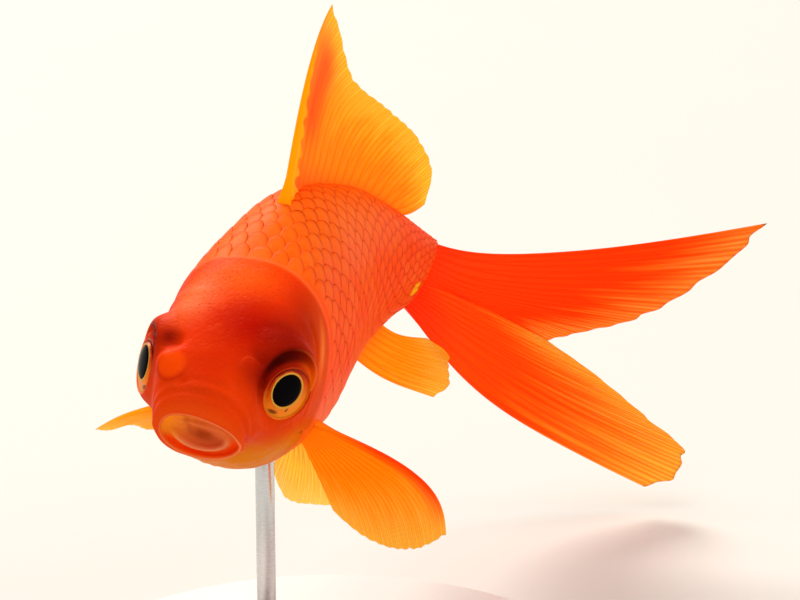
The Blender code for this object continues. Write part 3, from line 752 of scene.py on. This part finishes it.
scales = {
    "columns": 28,                # from the gill edge to the tail root
    "columnShift": -0.25,
    "rows": 30,                   # round the body
    "fineness": 9,                # points each way on a plate
    "reach": 1.25,                # half a plate's length, in column steps
    "breadth": 0.62,              # half its width, in row steps
    "rootLift": -0.0006,
    "edgeLift": 0.0024,
    "half": 0.0003,               # half its thickness
    "lastAlong": 0.975,
    "patch": 0.003,               # a plate's size on the bake map
    "lean": 0.0003,               # one side up, both sides down, and how unevenly they lie
    "droop": 0.0005,
    "uneven": 0.0002,
    "tube": 0.0007,               # height of the lateral line's tubes
}


def scaleMaterial():
    # the body's colour with a redder edge, a paler ring, a few pale scales and fine growth rings
    material, shader, start = newMaterial("scale", {**flesh, "IOR": 1.40, "Specular IOR Level": 0.03})
    x, y, chance = attribute(start, "scalePlace").split()
    fromMiddle = (x * x + y * y).maths("SQRT")
    pale = ((chance - 0.5) * 0.35).maths("MAXIMUM", 0.0)
    colour = washed(
        bodyColour(attribute(start, "bodyPlace")),
        (fromMiddle.rise(0.72, 1.0) * 0.30, (0.86, 0.035, 0.001)),
        (fromMiddle.near(0.55, 0.35) * 0.14, (1.0, 0.220, 0.020)),
        (pale, (1.0, 0.20, 0.02)))
    growth = (fromMiddle * 34.0).maths("SINE")
    connect(shader, Base_Color=colour, Roughness=fromMiddle.rise(0.4, 1.0) * 0.08 + 0.40,
            Normal=bumpy(start, growth, 0.000010, 0.4))
    return material


def scaleSheets(side, material):
    # a square grid pressed to a disc: x = a sqrt(1 - b^2/2), y = b sqrt(1 - a^2/2)
    square = np.linspace(-1, 1, scales["fineness"])
    a, b = np.meshgrid(square, square, indexing="ij")
    x = a * np.sqrt(1 - b * b / 2)
    y = b * np.sqrt(1 - a * a / 2)
    column, row = np.meshgrid(np.arange(scales["columns"]), np.arange(scales["rows"]), indexing="ij")
    rootAngle = (row + 0.5 * (column % 2) + 0.25) * 2 * np.pi / scales["rows"]
    chosen = np.cos(rootAngle) * side > 0
    column, rootAngle = column[chosen][:, None, None], rootAngle[chosen][:, None, None]
    neck = neckLine(rootAngle)
    pitch = (scales["lastAlong"] - neck) / (scales["columns"] - 1)
    middle = neck + pitch * (column + scales["columnShift"])
    chance = np.random.default_rng(7).random(middle.shape)
    along = middle + x * pitch * scales["reach"]
    angle = rootAngle + y * scales["breadth"] * 2 * np.pi / scales["rows"]
    share = (x + 1) / 2
    lift = scales["rootLift"] + (scales["edgeLift"] - scales["rootLift"]) * share**1.3
    lift = lift + scales["lean"] * y * side - scales["droop"] * y * y + scales["uneven"] * (chance - 0.5)
    tube = hump(y, 0, 0.12) * hump(x, 0.35, 0.35) * (np.abs(np.sin(rootAngle - 0.1)) < 0.09)
    lift = lift - skin["coatDepth"] + scales["tube"] * tube
    points = bodyPoint(np.minimum(along, 1.0), angle, lift)
    root = skinMap((middle - 0.01) / 0.99, (rootAngle / (2 * np.pi)) % 1)
    patch = root + scales["patch"] * 0.45 * np.stack(np.broadcast_arrays(x, y), -1)
    layers = {"bodyPlace": points,
              "scalePlace": np.stack(np.broadcast_arrays(x, y, chance), -1)}
    name = "scales_left" if side > 0 else "scales_right"
    half = np.full(points.shape[:3], scales["half"] * fish["length"])
    piece = plateMesh(name, place(points), half, patch, patch, layers)
    dress(piece, material, "body_skin", "trunk", "tail_stem")
    return len(points)


scaleLook = scaleMaterial()
print("scales done:", scaleSheets(1, scaleLook) + scaleSheets(-1, scaleLook))


# Eyes: ball with iris, pupil and lid are turned about the eye's aim

def eyeSpin(name, side, profile, columns, offCentre):
    # rings of radius r at height h on the aim: centre + h aim + r (cos up + sin forward);
    # outside the pupil's ring they move off centre, down and forward
    centre, aim, up, forward = eyeAxes(side)
    radius, height = np.array(profile, dtype=float).T
    turn = np.linspace(0, 2 * np.pi, columns, endpoint=False) * side
    spokes = np.cos(turn)[:, None] * up + np.sin(turn)[:, None] * forward
    share = offCentre * smoothStep(radius, eyeShape["ring"], eyeShape["iris"] - eyeShape["ring"])
    shift = forward * eyeShape["irisAhead"] - up * eyeShape["irisDrop"]
    flat = (centre + height[:, None, None] * aim + radius[:, None, None] * spokes
            + share[:, None, None] * shift)
    where = np.stack(np.broadcast_arrays(radius[:, None], np.cos(turn), np.sin(turn)), -1)
    offset = flat - centre
    face = np.stack([offset @ forward, offset @ up, offset @ aim], -1)
    return tubeMesh(name, place(flat), tubeMap(len(radius), columns), {"eyePlace": where, "eyeFace": face})


def irisProfile():
    # back of the ball, a turn at the lid, a nearly flat iris, a raised ring, then into the pupil
    ball = eyeShape["radius"]
    turn = np.radians(np.linspace(176, 62, 22))
    sphere = np.stack([ball * np.sin(turn), ball * np.cos(turn)], -1)
    shoulder = [(0.0384, 0.0245), (0.0372, 0.0280), (0.0358, 0.0308), (0.0345, 0.0328)]
    radius = np.linspace(eyeShape["iris"], eyeShape["ring"] + 0.0004, 24)
    share = (eyeShape["iris"] - radius) / (eyeShape["iris"] - eyeShape["ring"])
    height = eyeShape["irisHeight"] + eyeShape["irisRise"] * share - 0.0007 * np.sin(np.pi * share)
    iris = np.stack([radius, height], -1)
    turn = np.radians(np.linspace(0, 180, 12))
    middle = (eyeShape["ring"] + eyeShape["pupil"]) / 2
    wide = (eyeShape["ring"] - eyeShape["pupil"]) / 2
    rim = np.stack([middle + wide * np.cos(turn),
                    eyeShape["ringHeight"] + eyeShape["ringBulge"] * np.sin(turn)], -1)
    well = [(eyeShape["pupil"] - 0.0004, 0.0370), (0.0120, 0.0350), (0.0010, 0.0350)]
    return np.vstack([sphere, shoulder, iris, rim, well])


def lensProfile():
    # a low dome that fills the ring
    turn = np.radians(np.linspace(100, 3, 16))
    return np.stack([(eyeShape["pupil"] - 0.0001) * np.sin(turn),
                     eyeShape["lensHeight"] + eyeShape["lensBulge"] * np.cos(turn)], -1)


def lidProfile():
    # a soft rolled edge, from above the eyeball round to under the skin
    turn = np.linspace(0, 2 * np.pi, 21)[:-1]
    return np.stack([eyeShape["lidEdge"] + 0.0004 + eyeShape["lidRoll"] * np.cos(turn),
                     eyeShape["lidHeight"] - 0.0006 + eyeShape["lidRoll"] * np.sin(turn)], -1)


def irisMaterial():
    # orange below and red above, with flecks, two dark marks and a golden ring round the pupil
    material, shader, start = newMaterial("iris", {
        "IOR": 1.36, "Specular IOR Level": 0.12, "Coat Weight": 0.12, "Coat Roughness": 0.03,
        "Coat IOR": 1.33, "Roughness": 0.40})
    radius, upward, forward = attribute(start, "eyePlace").split()
    ahead, above, _ = attribute(start, "eyeFace").split()
    where = objectPlace(start)
    flecks = where.noise(900.0, 4.0, 0.6)
    face = start.node("ShaderNodeCombineXYZ", {}, {0: ahead * 0.93 + above * 0.37,
                                                   1: above * 0.93 - ahead * 0.37})
    marks = spot(face, (0.0022, -0.0309, 0), (0.0130, 0.0044, 1))
    marks = marks + spot(face, (-0.0162, -0.0231, 0), (0.0036, 0.0048, 1))
    colour = washed(
        upward.rise(-0.8, 0.75).blend((0.92, 0.225, 0.001), (0.62, 0.030, 0.001)),
        (flecks.rise(0.45, 0.75) * 0.30, (1.0, 0.320, 0.010)),
        (marks.rise(0.0, 0.7) * (where.noise(420.0, 2.0) * 0.9 + 0.45), (0.22, 0.040, 0.000)),
        (upward.rise(0.35, 0.9) * radius.rise(0.022, 0.028) * 0.8, (0.16, 0.006, 0.002)),
        (radius.near(0.0226, 0.0020).rise(0.1, 0.6), (0.66, 0.350, 0.035)),
        (radius.rise(0.0295, 0.0315) * (1 - upward.rise(-0.3, 0.5)) * 0.60, (0.55, 0.230, 0.004)))
    streaks = streaky(start, upward, forward, 16.0)
    connect(shader, Base_Color=colour, Metallic=radius.near(0.0226, 0.003) * 0.35 + 0.10,
            Normal=bumpy(start, streaks * 0.6 + flecks * 0.4, 0.00008, 0.5))
    return material


def pupilMaterial():
    # black with a faint haze
    material, shader, start = newMaterial("pupil", {
        "IOR": 1.36, "Specular IOR Level": 0.02, "Roughness": 0.06})
    haze = objectPlace(start).noise(300.0, 2.0)
    connect(shader, Base_Color=haze.blend((0.001, 0.001, 0.0015), (0.003, 0.002, 0.003)))
    return material


def lidMaterial():
    # orange below, dark red above
    material, shader, start = newMaterial("lid", {
        **flesh, "IOR": 1.36, "Specular IOR Level": 0.14, "Subsurface Weight": 0.10})
    _, upward, _ = attribute(start, "eyePlace").split()
    grain = objectPlace(start).noise(700.0, 3.0)
    colour = upward.rise(-0.3, 0.6).blend((0.92, 0.160, 0.002), (0.50, 0.016, 0.000))
    connect(shader, Base_Color=(grain * 0.3).blend(colour, (0.9, 0.10, 0.002)),
            Roughness=grain * 0.1 + 0.28, Normal=bumpy(start, grain, 0.00004, 0.4))
    return material


eyeParts = {                      # profile, material, slot, columns, and 1 where it sits off centre
    "ball": (irisProfile(), irisMaterial(), "iris", eyeShape["columns"]["iris"], 1.0),
    "pupil": (lensProfile(), pupilMaterial(), "pupil", eyeShape["columns"]["pupil"], 0.0),
    "lid": (lidProfile(), lidMaterial(), "head_skin", eyeShape["columns"]["lid"], 1.0),
}
for side, word in ((1, "left"), (-1, "right")):
    nodes = {"ball": "eye_" + word, "pupil": "pupil_" + word, "lid": "head"}
    for part, (profile, look, slot, columns, offCentre) in eyeParts.items():
        piece = eyeSpin("eye_" + part + "_" + word, side, profile, columns, offCentre)
        dress(piece, look, slot, nodes[part])
print("eyes done")


# Fins: thin plates of rays that branch twice, translucent towards their edges

finPlate = {
    "perRay": 10,                 # mesh steps from ray to ray, and along a ray
    "alongRay": 90,
    "edge": 0.0006,               # half its thickness at the edge, and what the root and rays add
    "taper": 0.0010,
    "ray": 0.0016,
    "root": 0.006,
    "leading": 0.0018,
    "ragged": 0.003,              # how far the edge draws back between rays, and where it is torn
    "torn": 0.012,
}
# root: both ends; tips: share of the way from first to last ray, and the point there; bows: how
# far the first and last ray arch; look: root, middle and edge colours, where the middle gives
# way, and the strength of a painted glow, emission that stands in for light shining through
fins = {
    "dorsal_fin": {
        "root": ((0, 0.365, 0.175), (0, 0.80, 0.108)),
        "tips": [(0, 0, 0.495, 0.440), (0.08, 0, 0.536, 0.403), (0.25, 0, 0.602, 0.330),
                 (0.5, 0, 0.702, 0.283), (0.75, 0, 0.813, 0.232), (0.92, 0, 0.886, 0.171),
                 (1, 0, 0.898, 0.124)],
        "bows": ((0, -0.022, 0.026), (0, 0, -0.008)), "skew": 1.5, "rays": 19, "wave": 0.0035,
        "look": ((1.0, 0.140, 0.001), (1.0, 0.350, 0.001), (1.0, 0.660, 0.018), 0.42, 0.24)},
    "anal_fin": {
        "root": ((0, 0.77, -0.100), (0, 0.88, -0.072)),
        "tips": [(0, 0.070, 1.12, -0.212), (0.3, 0.065, 1.16, -0.185), (0.7, 0.050, 1.15, -0.148),
                 (1, 0.030, 1.07, -0.118)],
        "bows": ((0, 0, -0.020), (0, 0, -0.014)), "skew": 1.0, "rays": 8, "wave": 0.004,
        "look": ((1.0, 0.240, 0.002), (1.0, 0.400, 0.002), (1.0, 0.620, 0.040), 0.50, 0.22)},
    "tail_fin_upper": {
        "root": ((0, 0.975, 0.050), (0, 0.975, -0.0185)),
        "tips": [(0, 0, 1.66, 0.256), (0.12, 0, 1.65, 0.195), (0.4, 0, 1.578, 0.048),
                 (0.75, 0, 1.475, -0.056), (1, 0, 1.408, -0.101)],
        "bows": ((0, -0.046, -0.105), (0, 0, 0)), "skew": 1.05, "rays": 10, "wave": 0.006,
        "look": ((1.0, 0.066, 0.001), (1.0, 0.090, 0.001), (1.0, 0.360, 0.010), 0.75, 0.22)},
    "tail_fin_lower": {
        "root": ((0, 0.975, -0.061), (0, 0.975, -0.0185)),
        "tips": [(0, 0.060, 1.694, -0.292), (0.12, 0.060, 1.735, -0.252), (0.3, 0.050, 1.735, -0.205),
                 (0.55, 0.030, 1.635, -0.166), (0.8, 0.010, 1.506, -0.128), (1, 0, 1.408, -0.101)],
        "bows": ((0, 0, -0.052), (0, 0, 0)), "skew": 1.13, "rays": 10, "wave": 0.006,
        "look": ((1.0, 0.050, 0.001), (1.0, 0.118, 0.001), (1.0, 0.560, 0.020), 0.50, 0.22)},
    "pectoral_fin_left": {
        "root": ((0.080, 0.305, -0.080), (0.066, 0.320, -0.106)),
        "tips": [(0, 0.263, 0.455, -0.253), (0.3, 0.225, 0.44, -0.280), (0.7, 0.165, 0.41, -0.267),
                 (1, 0.115, 0.38, -0.225)],
        "bows": ((0.043, 0, 0.019), (0, 0, 0)), "skew": 1.2, "rays": 14, "wave": 0.004,
        "look": ((1.0, 0.310, 0.002), (1.0, 0.340, 0.001), (1.0, 0.680, 0.050), 0.42, 0.48)},
    "pectoral_fin_right": {
        "root": ((-0.080, 0.305, -0.080), (-0.066, 0.320, -0.106)),
        "tips": [(0, -0.228, 0.375, -0.172), (0.3, -0.220, 0.43, -0.184), (0.7, -0.195, 0.47, -0.192),
                 (1, -0.150, 0.46, -0.178)],
        "bows": ((-0.010, 0, 0), (0, 0, 0)), "skew": 1.0, "rays": 14, "wave": 0.003,
        "look": ((1.0, 0.300, 0.004), (1.0, 0.480, 0.010), (1.0, 0.680, 0.060), 0.45, 0.22)},
    "pelvic_fin_left": {
        "root": ((0.046, 0.465, -0.138), (0.020, 0.495, -0.144)),
        "tips": [(0, 0.085, 0.600, -0.290), (0.3, 0.045, 0.61, -0.303), (0.7, 0.008, 0.60, -0.300),
                 (1, -0.018, 0.568, -0.247)],
        "bows": ((0.008, 0, 0), (0, 0, 0)), "skew": 1.0, "rays": 9, "wave": 0.003,
        "look": ((1.0, 0.480, 0.010), (1.0, 0.700, 0.080), (1.0, 0.780, 0.180), 0.45, 0.24)},
    "pelvic_fin_right": {
        "root": ((-0.046, 0.465, -0.138), (-0.020, 0.495, -0.144)),
        "tips": [(0, -0.110, 0.635, -0.235), (0.3, -0.085, 0.66, -0.250), (0.7, -0.050, 0.64, -0.245),
                 (1, -0.024, 0.60, -0.220)],
        "bows": ((-0.008, 0, 0), (0, 0, 0)), "skew": 1.0, "rays": 9, "wave": 0.003,
        "look": ((1.0, 0.480, 0.010), (1.0, 0.700, 0.080), (1.0, 0.780, 0.180), 0.45, 0.24)},
}


def finMaterial(name, shape):
    # rays as bands that part twice on the way out; colours by the share of the way, half see-through, with
    # a painted glow: emission in the fin's own colour standing in for light shining through
    rootColour, middleColour, edgeColour, change, paintedGlow = shape["look"]
    # the emission strength is a painted glow, not a lamp
    material, shader, start = newMaterial(name + "_membrane", {
        "IOR": 1.36, "Specular IOR Level": 0.08, "Emission Strength": paintedGlow})
    turn, out, _ = attribute(start, "finPlace").split()
    aside = abs((turn * (shape["rays"] - 1) + 0.5).maths("FRACT") - 0.5)
    first = abs(aside - out.rise(0.22, 0.55) * 0.24)
    branch = abs(first - out.rise(0.50, 0.85) * 0.115)
    ray = 1 - branch.rise(0.01, 0.11)
    streak = streaky(start, turn * 26.0, out * 3.0, 1.0)
    edge = (out + (streak - 0.5) * 0.35).rise(change, 1.05)
    colour = washed(
        out.rise(0.02, 0.40).blend(rootColour, middleColour), (edge, edgeColour),
        (ray * 0.40, (1.0, middleColour[1] * 0.62, middleColour[2] * 0.5)))
    if name == "dorsal_fin":
        front = turn.near(0.11, 0.15) * out.rise(0.25, 0.5) * (1 - out.rise(0.75, 1.0))
        colour = (front * 0.75).blend(colour, (1.0, 0.085, 0.001))
        beads = (out * 75.0).maths("SINE") * 0.28 + 1.0
        width = ((1 - out.rise(0.05, 0.75)) * 0.075 + 0.014) * beads
        strip = (1 - (turn - width).rise(-0.010, 0.010)) * (1 - out.rise(0.68, 0.80))
        colour = strip.blend(colour, (1.0, 0.500, 0.001))
    if name == "pectoral_fin_left":
        leading = turn.near(0.0, 0.14) * out.rise(0.05, 0.35) * (1 - out.rise(0.6, 1.0))
        colour = leading.blend(colour, (1.0, 0.075, 0.001))
    joints = (out * 170.0).maths("SINE").rise(0.4, 1.0) * out.rise(0.2, 0.5)
    normal = bumpy(start, ray - joints * 0.2, 0.00012, 0.8)
    alpha = 1 - edge * (1 - ray * 0.45) * 0.42
    # the emission colour is the fin's colour: a painted glow
    connect(shader, Base_Color=colour, Roughness=ray * 0.1 + 0.36, Alpha=alpha, Normal=normal,
            Emission_Color=colour)
    tree = material.node_tree
    through = start.node("ShaderNodeBsdfTranslucent", {}, {"Color": colour, "Normal": normal})
    mixed = start.node("ShaderNodeMixShader", {}, {0: 0.55, 1: Wire(tree, shader.outputs[0]), 2: through})
    tree.links.new(mixed.socket, tree.nodes["Material Output"].inputs["Surface"])
    return material


def finPoints(shape, turn, out):
    # root + (tip - root) out + bow sin(pi out^skew), for rays spread from first to last
    root = np.array(shape["root"][0]) + turn[..., None] * np.subtract(*shape["root"][::-1])
    tips = np.array(shape["tips"], dtype=float)
    tip = np.stack([curve(tips[:, [0, k]], turn) for k in (1, 2, 3)], -1)
    bow = np.array(shape["bows"][0]) + turn[..., None] * np.subtract(*shape["bows"][::-1])
    return root + (tip - root) * out[..., None] + bow * np.sin(np.pi * out**shape["skew"])[..., None]


def makeFin(name, shape):
    # ragged between the rays, waved towards the edge, thickest on the rays and at the root
    turn, out = np.meshgrid(np.linspace(0, 1, (shape["rays"] - 1) * finPlate["perRay"] + 1),
                            np.linspace(0, 1, finPlate["alongRay"]), indexing="ij")
    phase = turn * (shape["rays"] - 1)
    onRay = 0.5 + 0.5 * np.cos(2 * np.pi * phase)
    torn = 0.5 + 0.5 * np.sin(phase * 2.3 + 1.0) * np.sin(phase * 1.1)
    ragged = (finPlate["ragged"] + finPlate["torn"] * torn) * (1 - onRay) * smoothStep(out, 0.7, 0.3)
    points = finPoints(shape, turn, out * (1 - ragged))
    normal = gridNormals(points, wrap=False)
    wave = shape["wave"] * smoothStep(out, 0.25, 0.75) * smoothStep(1 - turn, 0.0, 0.3)
    points = points + normal * (wave * np.sin(turn * 9 + out * 3))[..., None]
    ray = onRay**3 * (1 - 0.85 * smoothStep(out, 0.2, 0.6))
    root = 1 - smoothStep(out, 0.0, 0.16)
    leading = hump(turn, 0, 0.02) * (1 - smoothStep(out, 0.5, 0.5))
    half = (finPlate["edge"] + finPlate["taper"] * (1 - out) + finPlate["ray"] * ray
            + finPlate["root"] * root + finPlate["leading"] * leading) * fish["length"]
    frontMap = np.stack([0.01 + 0.48 * out, 0.01 + 0.98 * turn], -1)
    layers = {"finPlace": np.stack([turn, out, 0 * out], -1)[None]}
    piece = plateMesh(name + "_rays", place(points)[None], half[None], frontMap[None],
                      (frontMap + np.array([0.50, 0]))[None], layers)
    dress(piece, finMaterial(name, shape), "fin_membrane", name)


for finName, finShape in fins.items():
    makeFin(finName, finShape)
print("fins done:", len(fins))


# Stand: turned pieces

stand = {
    "edge": 0.0012,               # the base's rounded rim, in metres
    "columns": 180,
    "rodColumns": 48,
    "collarCurve": 0.0012,        # radii on the collar, below and above
    "collarLip": 0.0006,
    "bevel": 0.0003,
    "rodBevel": 0.0002,
    "play": 0.0001,               # between rod and collar
    "axis": 0.0005,               # where the base's profile ends, near its middle line,
    "rodAxis": 0.0001,            # and the rod's
}


def arc(centreRadius, centreHeight, radius, startDegrees, endDegrees, count=9):
    # points on part of a circle in the profile
    turn = np.radians(np.linspace(startDegrees, endDegrees, count))
    return [(centreRadius + radius * math.cos(t), centreHeight + radius * math.sin(t)) for t in turn]


def turned(name, profile, centre, columns):
    # a profile of (radius, height) carried round a vertical line
    radius, height = np.array(profile, dtype=float).T
    turn = np.linspace(0, 2 * np.pi, columns, endpoint=False)
    grid = np.stack(np.broadcast_arrays(centre[0] + radius[:, None] * np.cos(turn),
                                        centre[1] + radius[:, None] * np.sin(turn), height[:, None]), -1)
    return tubeMesh(name, grid[::-1], tubeMap(len(radius), columns), {})


def acrylicMaterial():
    # off-white with a faint cloud and grain
    material, shader, start = newMaterial("satinAcrylic", {"IOR": 1.49})
    where = objectPlace(start)
    grain = where.noise(2600.0, 3.0)
    cloud = where.noise(35.0, 2.0)
    connect(shader, Base_Color=cloud.blend((0.80, 0.79, 0.765), (0.76, 0.75, 0.725)),
            Roughness=cloud.rise(0.3, 0.7) * 0.06 + 0.34, Normal=bumpy(start, grain, 0.00001, 0.6))
    return material


def steelMaterial():
    # grey metal brushed round, as the pattern is flattened upright
    material, shader, start = newMaterial("brushedSteel", {"Metallic": 1.0})
    where = objectPlace(start)
    stretched = start.node("ShaderNodeMapping", {}, {"Vector": where, "Scale": (1.0, 1.0, 60.0)})
    brushed = stretched.noise(160.0, 4.0)
    connect(shader, Base_Color=brushed.blend((0.56, 0.56, 0.57), (0.68, 0.68, 0.69)),
            Roughness=brushed * 0.14 + 0.20, Normal=bumpy(start, brushed, 0.000008, 0.5))
    return material


def makeStand():
    # base, collar and rod turned to the solids' own radii and heights
    _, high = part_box("stand_base")
    outer, top, edge, axis = high.x, high.z, stand["edge"], stand["axis"]
    profile = [(axis, 0.0), (outer - edge / 2, 0.0)]
    profile += arc(outer - edge / 2, edge / 2, edge / 2, -80, 0)
    profile += arc(outer - edge, top - edge, edge, 0, 90)
    profile += [(outer * 0.6, top), (axis, top)]
    base = turned("stand_base_disc", profile[::-1], (0, 0), stand["columns"])
    dress(base, acrylicMaterial(), "base_acrylic", "stand_base")

    low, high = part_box("stand_collar")
    steel = steelMaterial()
    bevel, curved, lip, play = (stand[key] for key in ("bevel", "collarCurve", "collarLip", "play"))
    middle = (rodMiddle[0], rodMiddle[1])
    reach, tall = (high.x - low.x) / 2, high.z - low.z
    rodRadius = (rodHigh[0] - rodLow[0]) / 2
    profile = [(rodRadius + play, low.z), (reach - bevel, low.z), (reach, low.z + bevel)]
    profile += arc(reach - curved, low.z + tall * 0.35, curved, 0, 55)
    profile += arc(reach * 0.6 - 0.0004, high.z - lip, lip, 30, 90)
    profile += [(rodRadius + bevel, high.z), (rodRadius + play, high.z - bevel)]
    collar = turned("stand_collar_turned", profile[::-1], middle, stand["columns"])
    dress(collar, steel, "rod_steel", "stand_collar")
    bevel, axis = stand["rodBevel"], stand["rodAxis"]
    profile = [(axis, rodLow[2]), (rodRadius, rodLow[2]), (rodRadius, rodHigh[2] - bevel),
               (rodRadius - bevel, rodHigh[2]), (axis, rodHigh[2])]
    rod = turned("stand_rod_turned", profile[::-1], middle, stand["rodColumns"])
    dress(rod, steel, "rod_steel", "stand_rod")


makeStand()
print("stand done")


# Floor, lights and camera

studio = {
    "azimuth": 10.0,              # the camera looks along +Y, turned and tilted by these
    "elevation": 12.4,
    "distance": 0.225,
    "aimAlong": 0.12,             # it aims near the head's middle,
    "aside": 0.0198,              # and this much to the right and above, in metres
    "above": 0.0094,
    "lens": 92.36,
    "world": ((1.0, 0.98, 0.94, 1.0), 0.32),    # colour and strength all round
    "suns": [                     # name, azimuth, elevation, spread in degrees, power, colour
        ("key", -30, 60, 40, 1.15, (1.0, 0.97, 0.93)),
        ("fill", 100, 40, 50, 1.25, (1.0, 0.95, 0.88)),
        ("back", -150, 42, 30, 2.60, (1.0, 0.95, 0.86))],
    "floorReach": 4.0,            # from its middle, in metres
    "floorCells": 59,
    "floorCurve": 0.12,
}


def cameraFrame(azimuth, elevation):
    # forward, right and up of a camera that looks at the origin from there
    a, e = math.radians(azimuth), math.radians(elevation)
    forward = Vector((-math.sin(a) * math.cos(e), math.cos(a) * math.cos(e), -math.sin(e)))
    right = Vector((math.cos(a), math.sin(a), 0))
    return forward, right, right.cross(forward)


def addObject(name, data, axes, position=(0, 0, 0)):
    # a camera or lamp: its own x, y and z are right, up and backward
    made = bpy.data.objects.new(name, data)
    bpy.context.scene.collection.objects.link(made)
    forward, right, up = axes
    matrix = Matrix((right, up, -forward)).transposed().to_4x4()
    matrix.translation = position
    made.matrix_world = matrix
    return made


def makeCamera():
    # steps back from the head's middle along the view, then aside and up
    axes = cameraFrame(studio["azimuth"], studio["elevation"])
    forward, right, up = axes
    target = Vector(place([0.0, studio["aimAlong"], 0.0]))
    data = bpy.data.cameras.new("camera")
    data.lens, data.sensor_width, data.clip_start = studio["lens"], 36.0, 0.01
    position = target - studio["distance"] * forward + studio["aside"] * right + studio["above"] * up
    bpy.context.scene.camera = addObject("camera", data, axes, position)


def softSun(name, azimuth, elevation, spread, power, colour):
    # shines from that side towards the origin
    data = bpy.data.lights.new(name, "SUN")
    data.angle, data.energy, data.color = math.radians(spread), power, colour
    addObject(name, data, cameraFrame(azimuth, elevation))


def makeFloor():
    # a wide shallow dish that curves up far behind, so no horizon shows
    reach, count = studio["floorReach"], studio["floorCells"] + 1
    across = np.linspace(-reach, reach, count)
    x, y = np.meshgrid(across, across, indexing="ij")
    far = np.clip(np.hypot(x, y) - reach / 2, 0, None)
    points = np.stack([x, y, studio["floorCurve"] * far**2], -1).reshape(-1, 3)
    quads = quadsOf(np.arange(count * count).reshape(count, count))
    floor = makeMesh("floor", points, [quads], [(points[:, :2] / (2 * reach) + 0.5)[quads]], {})
    material, shader, start = newMaterial("paleFloor", {"Roughness": 0.75, "Specular IOR Level": 0.2})
    cloud = objectPlace(start).noise(3.0, 2.0)
    connect(shader, Base_Color=cloud.blend((0.70, 0.69, 0.66), (0.68, 0.67, 0.64)))
    floor.data.materials.append(material)


makeCamera()
makeFloor()
for sun in studio["suns"]:
    softSun(*sun)
world = bpy.data.worlds.new("studio")
bpy.context.scene.world = world
world.use_nodes = True
background = world.node_tree.nodes["Background"]
background.inputs["Color"].default_value, background.inputs["Strength"].default_value = studio["world"]
bpy.context.scene.view_settings.view_transform = "Standard"
print("studio done")
